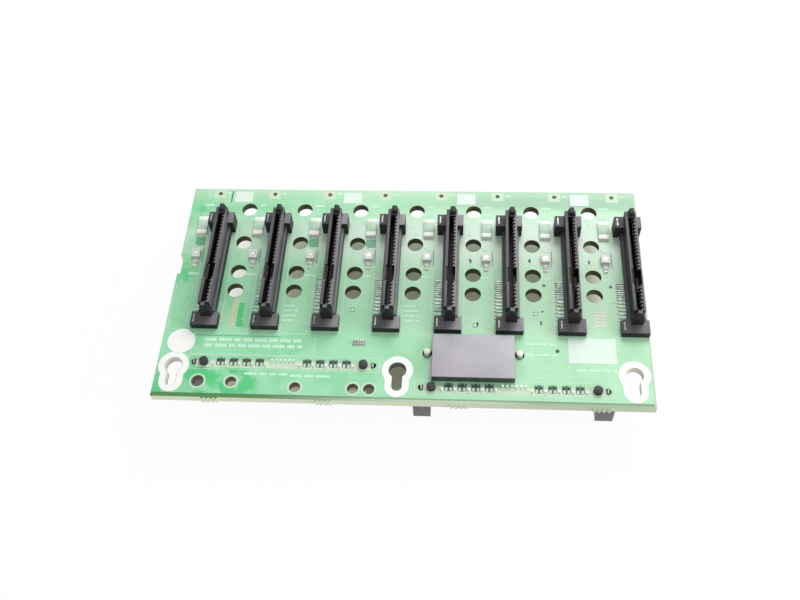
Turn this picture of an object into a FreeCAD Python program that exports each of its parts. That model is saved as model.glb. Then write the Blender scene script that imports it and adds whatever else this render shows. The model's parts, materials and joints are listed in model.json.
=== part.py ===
import FreeCAD, Part
import os
import re
import Sketcher

# A drive backplane: a circuit board that carries a row of drive sockets on one face and its
# cable and power connectors on the other. The origin is the axis of the centre keyhole on the
# drive face; +X runs along the row, +Y from the keyholes to the sockets, +Z towards the drives.

BAYS = 8
SIGNAL_CONTACTS = 7
POWER_CONTACTS = 15
PAIRS_PER_SIDE = 4
SIDEBAND_CONTACTS = 6
POWER_COLUMNS = 5
POWER_ROWS = 2
LEADS_PER_SIDE = 10
BITES = 3

# Driving sizes in millimetres.
SIZES = {
    # board outline, measured from the centre keyhole and the socket row
    "board_thickness": 2.4,
    "bay_pitch": 18.0,
    "bay_to_keyhole": 58.1,
    "left_margin": 11.95,
    "right_gap": 0.05,
    "front_strip": 10.15,
    "socket_setback": 12.6,
    "back_strip": 13.55,
    # keyholes
    "keyhole_left_inset": 5.0,
    "keyhole_right_inset": 5.25,
    "keyhole_head": 5.0,
    "keyhole_neck": 2.9,
    "keyhole_travel": 5.2,
    # vent holes, their rows measured from the front of the sockets
    "vent_diameter": 4.9,
    "vent_offset": 7.2,
    "vent_row_a": 13.9,
    "vent_row_b": 20.9,
    "vent_row_c": 32.1,
    "vent_row_d": 45.3,
    # plain holes in the front strip
    "tooling_diameter": 3.6,
    "plain_diameter": 3.2,
    "plain_row": 6.35,
    "tooling_row": 5.0,
    "plain_x_a": 57.2,
    "plain_x_b": 47.5,
    "plain_x_c": 28.9,
    "plain_x_d": 12.4,
    "plain_x_e": 7.8,
    # routed relief on the left edge and breakaway stubs on the front edge
    "relief_length": 6.9,
    "relief_depth": 1.0,
    "relief_y": 35.7,
    "stub_length": 4.7,
    "stub_height": 0.5,
    "bite_diameter": 0.8,
    "bite_pitch": 1.4,
    "stub_left_inset": 17.05,
    "stub_x_a": 20.5,
    "stub_x_b": 17.6,
    "stub_right_inset": 14.85,
    # drive socket housing, measured from its own front end
    "foot_width": 8.0,
    "front_foot_length": 4.6,
    "front_foot_height": 2.2,
    "back_foot_length": 4.2,
    "back_foot_height": 5.0,
    "standoff": 0.4,
    "base_left": 2.0,
    "base_height": 2.2,
    "wall_left": 1.2,
    "wall_right": 2.2,
    "wall_height": 7.6,
    "shelf_reach": 2.9,
    "shelf_height": 2.8,
    "slot_shift": 0.4,
    "tongue_width": 1.35,
    "tongue_depth": 5.2,
    "tongue_front": 4.45,
    "tongue_margin": 0.47,
    "back_wall": 2.35,
    "lead_in": 0.15,
    "arm_tip_width": 1.2,
    "front_arm_start": 2.9,
    "front_arm_width": 3.3,
    "front_arm_shift": 0.5,
    "front_arm_shoulder": 5.0,
    "front_arm_height": 8.2,
    "back_arm_thickness": 2.1,
    "back_arm_width": 2.7,
    "back_arm_shift": 0.8,
    "back_arm_shoulder": 6.6,
    "back_arm_height": 9.3,
    "arm_groove": 0.9,
    "key_gap": 0.48,
    "key_length": 5.3,
    "key_depth": 4.4,
    "key_skin": 0.3,
    # contacts of the drive socket
    "contact_pitch": 1.27,
    "contact_width": 0.55,
    "fine_pitch": 0.8,
    "fine_width": 0.35,
    "contact_gauge": 0.2,
    "contact_height": 7.1,
    "contact_bow": 0.3,
    "bow_length": 1.9,
    "contact_clearance": 0.1,
    "contact_margin": 0.85,
    "power_gap": 0.9,
    "fine_margin": 0.3,
    "tail_reach": 4.0,
    "power_foot": 2.5,
    # board clips of the drive socket
    "clip_gauge": 0.5,
    "clip_length": 2.8,
    "clip_offset": 3.1,
    "clip_proud": 0.15,
    "clip_clearance": 0.12,
    # status lights
    "light_offset": 6.9,
    "light_row": 27.0,
    "light_width": 2.5,
    "light_length": 3.0,
    "light_height": 1.3,
    "lens_diameter": 1.9,
    "lens_depth": 0.6,
    "terminal_gauge": 0.2,
    "terminal_width": 1.8,
    "terminal_length": 1.0,
    "terminal_proud": 0.25,
    # chip parts on the drive face
    "fuse_offset": 6.75,
    "fuse_row": 38.1,
    "fuse_width": 3.2,
    "fuse_body": 3.4,
    "fuse_end": 1.7,
    "fuse_height": 1.0,
    "resistor_row": 23.6,
    "resistor_width": 1.3,
    "resistor_body": 1.3,
    "resistor_end": 0.4,
    "resistor_height": 0.5,
    "array_x": 11.65,
    "array_y": 8.75,
    "array_width": 3.4,
    "array_length": 1.6,
    "array_height": 0.55,
    # power header on the rear face and the cover over its tails
    "power_x": 21.5,
    "power_y": 3.8,
    "power_pitch": 4.2,
    "power_rim": 2.9,
    "power_wall": 1.2,
    "power_height": 12.8,
    "power_floor": 3.3,
    "power_pin": 1.14,
    "power_pin_clearance": 0.1,
    "power_pin_recess": 4.4,
    "power_tail": 1.5,
    "peg_diameter": 1.9,
    "peg_clearance": 0.45,
    "peg_gap": 1.9,
    "peg_shift": 2.0,
    "peg_proud": 1.3,
    "ear_height": 2.6,
    "lug_width": 3.0,
    "lug_depth": 1.0,
    "lug_height": 2.0,
    "lug_recess": 1.2,
    "cover_end_margin": 3.35,
    "cover_side_margin": 4.95,
    "cover_roof": 0.8,
    "cover_wall": 1.0,
    "cover_clearance": 0.3,
    # cable sockets on the rear face
    "cable_left_x": 33.1,
    "cable_left_y": 1.3,
    "cable_right_x": 33.0,
    "cable_right_y": 5.3,
    "cable_depth": 4.4,
    "cable_height": 5.0,
    "cable_floor": 1.2,
    "cable_mouth": 2.5,
    "cable_rim": 1.2,
    "pair_start": 6.9,
    "cable_pitch": 1.27,
    "row_gap": 1.4,
    "cable_pin": 0.45,
    "cable_pin_clearance": 0.08,
    "cable_pin_reach": 3.4,
    "cable_tail": 0.9,
    "dowel_diameter": 2.6,
    "dowel_clearance": 0.12,
    "dowel_gap": 2.965,
    "dowel_proud": 1.1,
    "tower_gap": 2.8,
    "tower_width": 5.0,
    "tower_depth": 6.0,
    "tower_height": 9.7,
    "window_width": 2.4,
    "window_height": 2.6,
    "window_rise": 1.6,
    "latch_gauge": 0.5,
    "latch_width": 1.6,
    "latch_clearance": 0.1,
    "latch_proud": 0.6,
    # controller chip and supply capacitors on the rear face
    "chip_offset": 1.8,
    "chip_y": 28.0,
    "chip_side": 7.0,
    "chip_height": 1.3,
    "chip_standoff": 0.1,
    "lead_pitch": 0.6,
    "lead_width": 0.25,
    "lead_gauge": 0.15,
    "lead_reach": 1.0,
    "capacitor_row": 32.0,
    "capacitor_width": 4.3,
    "capacitor_body": 6.1,
    "capacitor_end": 0.6,
    "capacitor_height": 2.8,
    # paper dot
    "dot_x": 64.3,
    "dot_y": 8.1,
    "dot_diameter": 8.2,
    "dot_thickness": 0.12,
}

doc = FreeCAD.newDocument("DriveBackplane")
sheet = doc.addObject("Spreadsheet::Sheet", "Sizes")
for row, (alias, size) in enumerate(SIZES.items(), start=1):
    sheet.set(f"A{row}", alias)
    sheet.set(f"B{row}", str(size))
    sheet.setAlias(f"B{row}", alias)
doc.recompute()

nodes = []


# Expressions are written with the sizes' own names.
def bound(text):
    return re.sub(r"[a-z_]+", lambda word: f"Sizes.{word[0]}" if word[0] in SIZES else word[0], text)


def minus(text):
    return f"-({text})"


def new_body(name):
    body = doc.addObject("PartDesign::Body", name)
    body.AllowCompound = True
    return body


def origin_part(body, role):
    return next(part for part in body.Origin.OriginFeatures if part.Role == role)


# A sketch on one of the body's origin planes, shifted in the plane's own directions.
def new_sketch(body, role="XY_Plane", shift=("0", "0", "0")):
    sketch = body.newObject("Sketcher::SketchObject", f"{body.Name}_outline")
    sketch.AttachmentSupport = [(origin_part(body, role), "")]
    sketch.MapMode = "FlatFace"
    for axis, text in zip("xyz", shift):
        sketch.setExpression(f"AttachmentOffset.Base.{axis}", bound(text))
    return sketch


# The number that an expression gives, for a sketch's first drawing.
def worked_out(sketch, text):
    return float(sketch.evalExpression(bound(text)))


# Constraints that hold one point of a sketch at a place measured from the sketch's root point.
def point_ties(sketch, geometry, point, place):
    ties = []
    for kind, axis, text in (("DistanceX", -2, place[0]), ("DistanceY", -1, place[1])):
        offset = worked_out(sketch, text)
        if abs(offset) < 1e-9:
            ties.append((Sketcher.Constraint("PointOnObject", geometry, point, axis), None))
        else:
            ties.append((Sketcher.Constraint(kind, -1, 1, geometry, point, offset), text))
    return ties


# Adds constraints in one go and binds each that has an expression.
def tie(sketch, ties):
    first = sketch.ConstraintCount
    sketch.addConstraint([constraint for constraint, text in ties])
    for index, (constraint, text) in enumerate(ties, start=first):
        if text is not None:
            sketch.setExpression(f"Constraints[{index}]", bound(text))


def add_polygon(sketch, places):
    spots = [FreeCAD.Vector(*(worked_out(sketch, text) for text in place), 0) for place in places]
    lines = sketch.addGeometry([Part.LineSegment(a, b) for a, b in zip(spots, spots[1:] + spots[:1])])
    ties = []
    for i, line in enumerate(lines):
        following = lines[(i + 1) % len(lines)]
        ties.append((Sketcher.Constraint("Coincident", line, 2, following, 1), None))
        ties += point_ties(sketch, line, 1, places[i])
    tie(sketch, ties)


def add_rectangle(sketch, width, length, x="0", y="0"):
    near, far = f"{x} - ({width}) / 2", f"{x} + ({width}) / 2"
    low, high = f"{y} - ({length}) / 2", f"{y} + ({length}) / 2"
    add_polygon(sketch, [(near, low), (far, low), (far, high), (near, high)])


def add_circle(sketch, x, y, diameter):
    place = FreeCAD.Vector(worked_out(sketch, x), worked_out(sketch, y), 0)
    radius = worked_out(sketch, diameter) / 2
    circle = sketch.addGeometry(Part.Circle(place, FreeCAD.Vector(0, 0, 1), radius))
    size = (Sketcher.Constraint("Diameter", circle, 2 * radius), diameter)
    tie(sketch, point_ties(sketch, circle, 3, (x, y)) + [size])


def add_pad(body, sketch, length, side="One side", reverse=False):
    pad = body.newObject("PartDesign::Pad", f"{body.Name}_pad")
    pad.Profile = sketch
    pad.setExpression("Length", bound(length))
    pad.SideType = side
    pad.Reversed = reverse
    return pad


def add_pocket(body, sketch, length=None, side="One side", reverse=False):
    pocket = body.newObject("PartDesign::Pocket", f"{body.Name}_pocket")
    pocket.Profile = sketch
    pocket.Refine = False
    if length is None:
        pocket.Type = "ThroughAll"
        pocket.SideType = "Symmetric"
    else:
        pocket.setExpression("Length", bound(length))
        pocket.SideType = side
        pocket.Reversed = reverse
    return pocket


def repeat(body, feature, role, spacing, count):
    pattern = body.newObject("PartDesign::LinearPattern", f"{body.Name}_row")
    pattern.Originals = [feature]
    pattern.Refine = False
    pattern.Direction = (origin_part(body, role), [""])
    pattern.Mode = "Spacing"
    pattern.setExpression("Offset", bound(spacing))
    pattern.Occurrences = count
    body.Tip = pattern
    return pattern


def pad_block(body, width, length, height, x="0", y="0", z="0", down=False):
    sketch = new_sketch(body, shift=(x, y, z))
    add_rectangle(sketch, width, length)
    return add_pad(body, sketch, height, reverse=down)


def cut_block(body, width, length, depth, x="0", y="0", z="0", up=False):
    sketch = new_sketch(body, shift=(x, y, z))
    add_rectangle(sketch, width, length)
    return add_pocket(body, sketch, depth, reverse=up)


# One named sub-part: an upright copy of the given objects at a place in the row frame.
def place_node(label, sources, x="0", y="0", z="0"):
    node = doc.addObject("Part::Compound", label)
    node.Links = sources
    node.Label = label
    for axis, text in zip("xyz", (x, y, z)):
        node.setExpression(f"Placement.Base.{axis}", bound(text))
    nodes.append(node)


def bay_x(bay):
    return f"{bay} * bay_pitch - bay_to_keyhole"


# The drive socket along its length: signal contacts, key, power contacts, back wall.
SIGNAL_START = "(tongue_front + contact_margin)"
KEY_START = f"({SIGNAL_START} + {SIGNAL_CONTACTS - 1} * contact_pitch + key_gap)"
FINE_START = f"({KEY_START} + fine_margin)"
POWER_START = f"({KEY_START} + key_length + power_gap)"
POWER_END = f"({POWER_START} + {POWER_CONTACTS - 1} * contact_pitch)"
TONGUE_LENGTH = f"({POWER_END} + tongue_margin - tongue_front)"
SOCKET_LENGTH = f"({POWER_END} + tongue_margin + back_wall)"
CLIP_ROWS = ("front_foot_length / 2", f"{SOCKET_LENGTH} - back_foot_length / 2")

# The board's edges and what is set in from them.
LEFT = minus("bay_to_keyhole + left_margin")
RIGHT = f"({bay_x(BAYS - 1)} + foot_width / 2 + right_gap)"
FRONT = minus("front_strip")
BACK = f"(socket_setback + {SOCKET_LENGTH} + back_strip)"
REAR = minus("board_thickness")
KEYHOLES = (f"{LEFT} + keyhole_left_inset", "0", f"{RIGHT} - keyhole_right_inset")
STUBS = (f"{LEFT} + stub_left_inset", minus("stub_x_a"), "stub_x_b", f"{RIGHT} - stub_right_inset")
VENT_ROWS = ("vent_row_a", "vent_row_b", "vent_row_c", "vent_row_d")

# The connectors on the rear face.
CABLE_SOCKETS = {
    "left": (minus("cable_left_x"), "cable_left_y"),
    "right": ("cable_right_x", minus("cable_right_y")),
}
PAIR_PITCH = "3 * cable_pitch"
LAST_PAIR = f"(pair_start + {PAIRS_PER_SIDE - 1} * {PAIR_PITCH})"
DOWEL_OFFSET = f"({LAST_PAIR} + {PAIR_PITCH} / 2 + dowel_gap)"
TOWER_OFFSET = f"({DOWEL_OFFSET} + tower_gap)"
POWER_LENGTH = f"({POWER_COLUMNS - 1} * power_pitch + 2 * power_rim)"
POWER_DEPTH = f"({POWER_ROWS - 1} * power_pitch + 2 * power_rim)"
PEG_OFFSET = f"({POWER_LENGTH} / 2 + peg_gap)"


# Tails of a cable socket: pairs and sideband in one row, grounds in the other. Each entry gives
# the first tails on the left, their row, and how they repeat along the socket.
def cable_tail_rows():
    half = "cable_pitch / 2"
    groups = (minus(LAST_PAIR), "pair_start")
    pairs = [f"{group} {sign} {half}" for group in groups for sign in "-+"]
    grounds = [f"{group} - {PAIR_PITCH} / 2" for group in groups]
    sideband = [f"-{SIDEBAND_CONTACTS - 1} * {half}"]
    return [
        (pairs, "row_gap / 2", PAIR_PITCH, PAIRS_PER_SIDE),
        (grounds, minus("row_gap / 2"), PAIR_PITCH, PAIRS_PER_SIDE + 1),
        (sideband, "row_gap / 2", "cable_pitch", SIDEBAND_CONTACTS),
    ]


def tail_circles(body, starts, row, centre, diameter, z="0"):
    sketch = new_sketch(body, shift=(centre[0], centre[1], z))
    for start in starts:
        add_circle(sketch, start, row, diameter)
    return sketch


def drill_cable_tails(body, centre):
    for starts, row, spacing, count in cable_tail_rows():
        sketch = tail_circles(body, starts, row, centre, "cable_pin + 2 * cable_pin_clearance")
        repeat(body, add_pocket(body, sketch), "X_Axis", spacing, count)


def drill(body, circles):
    sketch = new_sketch(body)
    for x, y, diameter in circles:
        add_circle(sketch, x, y, diameter)
    return add_pocket(body, sketch)


def drill_power_pins(body, centre):
    first_x = f"{centre[0]} - {(POWER_COLUMNS - 1) / 2} * power_pitch"
    first_y = f"{centre[1]} - {(POWER_ROWS - 1) / 2} * power_pitch"
    hole_size = "power_pin + 2 * power_pin_clearance"
    rows = [f"{first_y} + {row} * power_pitch" for row in range(POWER_ROWS)]
    holes = drill(body, [(first_x, y, hole_size) for y in rows])
    repeat(body, holes, "X_Axis", "power_pitch", POWER_COLUMNS)


# The board's outline: a plate with breakaway stubs at the front and a routed relief on the left.
def outline_board(board):
    face = new_sketch(board)
    add_polygon(face, [(LEFT, FRONT), (RIGHT, FRONT), (RIGHT, BACK), (LEFT, BACK)])
    add_pad(board, face, "board_thickness", reverse=True)
    edge = f"{FRONT} - stub_height"
    for stub in STUBS:
        pad_block(board, "stub_length", "2 * stub_height", "board_thickness", stub, FRONT, down=True)
        bites = [f"{stub} + {i - (BITES - 1) / 2} * bite_pitch" for i in range(BITES)]
        drill(board, [(x, edge, "bite_diameter") for x in bites])
    relief = new_sketch(board, shift=(LEFT, "relief_y", "0"))
    add_rectangle(relief, "2 * relief_depth", "relief_length")
    add_pocket(board, relief)


def drill_vents(board):
    first = f"{bay_x(0)} + vent_offset"
    vents = drill(board, [(first, f"socket_setback + {row}", "vent_diameter") for row in VENT_ROWS])
    repeat(board, vents, "X_Axis", "bay_pitch", BAYS - 1)


# A keyhole is a round head with a narrower neck that runs to the front.
def cut_keyholes(board):
    drill(board, [(x, "0", "keyhole_head") for x in KEYHOLES])
    drill(board, [(x, minus("keyhole_travel"), "keyhole_neck") for x in KEYHOLES])
    necks = new_sketch(board)
    for x in KEYHOLES:
        add_rectangle(necks, "keyhole_neck", "keyhole_travel", x, minus("keyhole_travel / 2"))
    add_pocket(board, necks)


def drill_plain_holes(board):
    tooling = (minus("plain_x_a"), minus("tooling_row"), "tooling_diameter")
    beside = (minus("plain_x_b"), minus("tooling_row"), "plain_diameter")
    row = [(minus(x), minus("plain_row"), "plain_diameter") for x in ("plain_x_c", "plain_x_d", "plain_x_e")]
    drill(board, [tooling, beside] + row)


# Holes for the rear connectors, cut to the sizes of what passes through them.
def drill_connectors(board):
    for x, y in CABLE_SOCKETS.values():
        drill_cable_tails(board, (x, y))
        dowel_hole = "dowel_diameter + 2 * dowel_clearance"
        latch_hole = "hypot(latch_width; latch_gauge) + 2 * latch_clearance"
        drill(board, [(f"{x} {sign} {DOWEL_OFFSET}", y, dowel_hole) for sign in "+-"])
        drill(board, [(f"{x} {sign} {TOWER_OFFSET}", y, latch_hole) for sign in "+-"])
    drill_power_pins(board, ("power_x", "power_y"))
    peg_hole = "peg_diameter + 2 * peg_clearance"
    drill(board, [(f"power_x {sign} {PEG_OFFSET}", "power_y + peg_shift", peg_hole) for sign in "+-"])


def make_board():
    board = new_body("board")
    outline_board(board)
    drill_vents(board)
    cut_keyholes(board)
    drill_plain_holes(board)
    drill_connectors(board)
    return board


# A guide arm that tapers to a narrow tip, standing across one end of the socket.
def add_arm(body, end, start, thickness):
    sketch = new_sketch(body, "XZ_Plane", (f"{end}_arm_shift", "standoff", f"-({start}) - ({thickness}) / 2"))
    half, tip = f"{end}_arm_width / 2", "arm_tip_width / 2"
    shoulder, top = f"{end}_arm_shoulder - standoff", f"{end}_arm_height - standoff"
    add_polygon(sketch, [(minus(half), "0"), (half, "0"), (half, shoulder), (tip, top),
                         (minus(tip), top), (minus(half), shoulder)])
    add_pad(body, sketch, thickness, "Symmetric")


# Channels for one row of contacts in a wall of the slot, open to the slot, the top and the bottom.
def cut_channels(body, side, start, width, pitch, count):
    depth = "contact_bow + contact_gauge + contact_clearance"
    x = f"slot_shift + {side} * (tongue_width / 2 + ({depth}) / 2)"
    channel = new_sketch(body, shift=(x, start, "0"))
    add_rectangle(channel, depth, f"{width} + 2 * contact_clearance")
    repeat(body, add_pocket(body, channel), "Y_Axis", pitch, count)


# The socket's two walls on their wider base, with a shelf along the right side, and a foot and a
# guide arm at each end. The front arm closes the slot between the walls.
def mould_socket(socket):
    wall_length = f"{SOCKET_LENGTH} - tongue_front"
    middle = f"tongue_front + ({wall_length}) / 2"
    section = new_sketch(socket, "XZ_Plane", ("0", "standoff", minus(middle)))
    left, right = minus("wall_left"), "wall_right"
    step, top = "base_height - standoff", "wall_height - standoff"
    shelf = "shelf_height - standoff"
    base, reach = minus("base_left"), "shelf_reach"
    add_polygon(section, [(base, "0"), (reach, "0"), (reach, shelf), (right, shelf), (right, top),
                          (left, top), (left, step), (base, step)])
    add_pad(socket, section, wall_length, "Symmetric")
    back_foot = f"{SOCKET_LENGTH} - back_foot_length / 2"
    pad_block(socket, "foot_width", "front_foot_length", "front_foot_height", y="front_foot_length / 2")
    pad_block(socket, "foot_width", "back_foot_length", "back_foot_height", y=back_foot)
    add_arm(socket, "front", "front_arm_start", "tongue_front - front_arm_start")
    add_arm(socket, "back", f"{SOCKET_LENGTH} - back_arm_thickness", "back_arm_thickness")


# The slot for the drive's tongue, with a lead-in, a key notch and a groove in the front guide arm.
def cut_tongue_slot(socket):
    slot_middle = f"tongue_front + {TONGUE_LENGTH} / 2"
    cut_block(socket, "tongue_width", TONGUE_LENGTH, "tongue_depth", "slot_shift", slot_middle, "wall_height")
    bevel = new_sketch(socket, "XZ_Plane", ("slot_shift", "wall_height - lead_in", minus(slot_middle)))
    narrow, wide = "tongue_width / 2", "tongue_width / 2 + lead_in"
    add_polygon(bevel, [(minus(narrow), "0"), (narrow, "0"), (wide, "lead_in"), (minus(wide), "lead_in")])
    add_pocket(socket, bevel, TONGUE_LENGTH, "Symmetric")
    slot_right = "slot_shift + tongue_width / 2"
    key_width = f"wall_right - key_skin - ({slot_right})"
    cut_block(socket, key_width, "key_length", "key_depth", f"{slot_right} + ({key_width}) / 2",
              f"{KEY_START} + key_length / 2", "wall_height")
    cut_block(socket, "arm_groove", "tongue_front - front_arm_start", "front_arm_height - wall_height",
              "slot_shift", "tongue_front", "front_arm_height")


# Room under the back foot for the feet of the last power contacts.
def relieve_back_foot(socket):
    foot_front = f"({SOCKET_LENGTH} - back_foot_length)"
    room_end = f"({POWER_END} + contact_width / 2 + contact_clearance)"
    cut_block(socket, "2 * (power_foot + contact_clearance)", f"{room_end} - {foot_front}", "standoff",
              y=f"({foot_front} + {room_end}) / 2", up=True)


def make_drive_socket():
    socket = new_body("drive_socket")
    mould_socket(socket)
    cut_tongue_slot(socket)
    relieve_back_foot(socket)
    cut_channels(socket, 1, SIGNAL_START, "contact_width", "contact_pitch", SIGNAL_CONTACTS)
    cut_channels(socket, 1, POWER_START, "contact_width", "contact_pitch", POWER_CONTACTS)
    cut_channels(socket, -1, FINE_START, "fine_width", "fine_pitch", SIGNAL_CONTACTS)
    for clip_y in CLIP_ROWS:
        clip_slot = new_sketch(socket, shift=(minus("clip_offset"), clip_y, "0"))
        add_rectangle(clip_slot, "clip_gauge + 2 * clip_clearance", "clip_length + 2 * clip_clearance")
        add_pocket(socket, clip_slot)
    return socket


# One row of bowed strip contacts: a blade in the wall channel and a foot on the board.
def make_contacts(name, side, foot_side, foot_end, start, width, pitch, count):
    contacts = new_body(name)
    inner = f"slot_shift + {side} * (tongue_width / 2 + contact_bow)"
    outer = f"slot_shift + {side} * (tongue_width / 2 + contact_bow + contact_gauge)"
    bow = f"slot_shift + {side} * (tongue_width / 2 - contact_bow / 2)"
    foot = f"{foot_side} * {foot_end}"
    near, far = (outer, inner) if side == foot_side else (inner, outer)
    low, mid, high = "contact_height - bow_length", "contact_height - bow_length / 2", "contact_height"
    blade = [(far, "0"), (far, high), (near, high), (near, "contact_gauge"),
             (foot, "contact_gauge"), (foot, "0")]
    crest = [(inner, low), (bow, mid), (inner, high)]
    if side == foot_side:
        blade[1:2] = crest
    else:
        blade[2:3] = crest[::-1]
    sketch = new_sketch(contacts, "XZ_Plane", ("0", "0", minus(start)))
    add_polygon(sketch, blade)
    repeat(contacts, add_pad(contacts, sketch, width, "Symmetric"), "Y_Axis", pitch, count)
    return contacts


def make_socket_contacts():
    signal = make_contacts("signal_contacts", 1, -1, "tail_reach", SIGNAL_START, "contact_width",
                           "contact_pitch", SIGNAL_CONTACTS)
    power = make_contacts("power_contacts", 1, 1, "power_foot", POWER_START, "contact_width",
                          "contact_pitch", POWER_CONTACTS)
    fine = make_contacts("fine_contacts", -1, -1, "tail_reach", FINE_START, "fine_width",
                         "fine_pitch", SIGNAL_CONTACTS)
    return [signal, power, fine]


def make_socket_clips():
    clips = new_body("board_clips")
    for foot_height, clip_y in zip(("front_foot_height", "back_foot_height"), CLIP_ROWS):
        pad_block(clips, "clip_gauge", "clip_length", f"{foot_height} + clip_proud",
                  minus("clip_offset"), clip_y)
    return clips


# A status light: a moulded cup on two folded terminals, with a lens cast in it.
def make_light_body():
    cup = new_body("light_cup")
    pad_block(cup, "light_width", "light_length", "light_height - terminal_gauge", z="terminal_gauge")
    recess = new_sketch(cup, shift=("0", "0", "light_height"))
    add_circle(recess, "0", "0", "lens_diameter")
    add_pocket(cup, recess, "lens_depth")
    return cup


def make_light_lens():
    lens = new_body("light_lens")
    sketch = new_sketch(lens, shift=("0", "0", "light_height - lens_depth"))
    add_circle(sketch, "0", "0", "lens_diameter")
    add_pad(lens, sketch, "lens_depth")
    return lens


def make_light_terminals():
    terminals = new_body("terminal_pair")
    middle = "light_length / 2 + terminal_proud - terminal_length / 2"
    for sign in (1, -1):
        pad_block(terminals, "terminal_width", "terminal_length", "terminal_gauge", y=f"{sign} * ({middle})")
    return terminals


# A chip part: the body and its two end caps touch face to face. A rear part hangs below its place.
def make_chip(name, width, body_length, end_length, height, rear=False):
    body, ends = new_body(f"{name}_core"), new_body(f"{name}_caps")
    pad_block(body, width, body_length, height, down=rear)
    middle = f"({body_length} + {end_length}) / 2"
    for sign in (1, -1):
        pad_block(ends, width, end_length, height, y=f"{sign} * {middle}", down=rear)
    return body, ends


def make_power_header():
    header = new_body("power_shroud")
    centre = ("power_x", "power_y")
    pad_block(header, POWER_LENGTH, POWER_DEPTH, "power_height", *centre, REAR, down=True)
    for sign in "+-":
        ear_x = f"power_x {sign} {PEG_OFFSET}"
        pad_block(header, "2 * peg_gap", "peg_diameter + 2 * power_wall", "ear_height", ear_x,
                  "power_y + peg_shift", REAR, down=True)
        peg = new_sketch(header, shift=(ear_x, "power_y + peg_shift", REAR))
        add_circle(peg, "0", "0", "peg_diameter")
        add_pad(header, peg, "board_thickness + peg_proud")
    mouth_z = f"{REAR} - power_height"
    cut_block(header, f"{POWER_LENGTH} - 2 * power_wall", f"{POWER_DEPTH} - 2 * power_wall",
              "power_height - power_floor", *centre, mouth_z, up=True)
    pad_block(header, "lug_width", "lug_depth", "lug_height", "power_x",
              f"power_y - {POWER_DEPTH} / 2 - lug_depth / 2", f"{mouth_z} + lug_recess")
    drill_power_pins(header, centre)
    return header


def make_power_pins():
    pins = new_body("power_tails")
    bottom = f"{REAR} - power_height + power_pin_recess"
    sketch = new_sketch(pins, shift=("power_x", "power_y", bottom))
    x = minus(f"{(POWER_COLUMNS - 1) / 2} * power_pitch")
    for row in range(POWER_ROWS):
        add_circle(sketch, x, f"({row} - {(POWER_ROWS - 1) / 2}) * power_pitch", "power_pin")
    pad = add_pad(pins, sketch, "power_tail + board_thickness + power_height - power_pin_recess")
    repeat(pins, pad, "X_Axis", "power_pitch", POWER_COLUMNS)
    return pins


# A shallow lid over the power tails, open towards the board.
def make_tail_cover():
    cover = new_body("cover_lid")
    length = f"{POWER_COLUMNS - 1} * power_pitch + 2 * cover_end_margin"
    depth = f"{POWER_ROWS - 1} * power_pitch + 2 * cover_side_margin"
    inside = "power_tail + cover_clearance"
    pad_block(cover, length, depth, f"{inside} + cover_roof", "power_x", "power_y")
    cut_block(cover, f"{length} - 2 * cover_wall", f"{depth} - 2 * cover_wall", inside,
              "power_x", "power_y", up=True)
    return cover


# A cable socket hangs below the board: a slotted wall between two end towers, each with a latch
# window in its back.
def make_cable_socket(side):
    housing = new_body(f"cable_housing_{side}")
    x, y = CABLE_SOCKETS[side]
    pad_block(housing, f"2 * {TOWER_OFFSET}", "cable_depth", "cable_height", x, y, REAR, down=True)
    for sign in "+-":
        tower_x = f"{x} {sign} {TOWER_OFFSET}"
        pad_block(housing, "tower_width", "tower_depth", "tower_height", tower_x, y, REAR, down=True)
        dowel = new_sketch(housing, shift=(f"{x} {sign} {DOWEL_OFFSET}", y, REAR))
        add_circle(dowel, "0", "0", "dowel_diameter")
        add_pad(housing, dowel, "board_thickness + dowel_proud")
    mouth_length = f"2 * {TOWER_OFFSET} - tower_width - 2 * cable_rim"
    cut_block(housing, mouth_length, "cable_mouth", "cable_height - cable_floor", x, y,
              f"{REAR} - cable_height", up=True)
    for sign in "+-":
        tower_x = f"{x} {sign} {TOWER_OFFSET}"
        window_z = f"{REAR} - tower_height + window_rise + window_height / 2"
        window = new_sketch(housing, "XZ_Plane", (tower_x, window_z, minus(y)))
        add_rectangle(window, "window_width", "window_height")
        add_pocket(housing, window, "tower_depth")
        cut_block(housing, "latch_gauge + 2 * latch_clearance", "latch_width + 2 * latch_clearance",
                  "tower_height - window_rise", tower_x, y, REAR)
    drill_cable_tails(housing, (x, y))
    return housing


def make_cable_contacts(side):
    contacts = new_body(f"cable_tails_{side}")
    for starts, row, spacing, count in cable_tail_rows():
        sketch = tail_circles(contacts, starts, row, CABLE_SOCKETS[side], "cable_pin",
                              f"{REAR} - cable_pin_reach")
        pad = add_pad(contacts, sketch, "cable_pin_reach + board_thickness + cable_tail")
        repeat(contacts, pad, "X_Axis", spacing, count)
    return contacts


def make_cable_clips(side):
    clips = new_body(f"cable_latches_{side}")
    x, y = CABLE_SOCKETS[side]
    length = "board_thickness + latch_proud + tower_height - window_rise"
    for sign in "+-":
        pad_block(clips, "latch_gauge", "latch_width", length, f"{x} {sign} {TOWER_OFFSET}", y,
                  f"{REAR} - tower_height + window_rise")
    return clips


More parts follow.
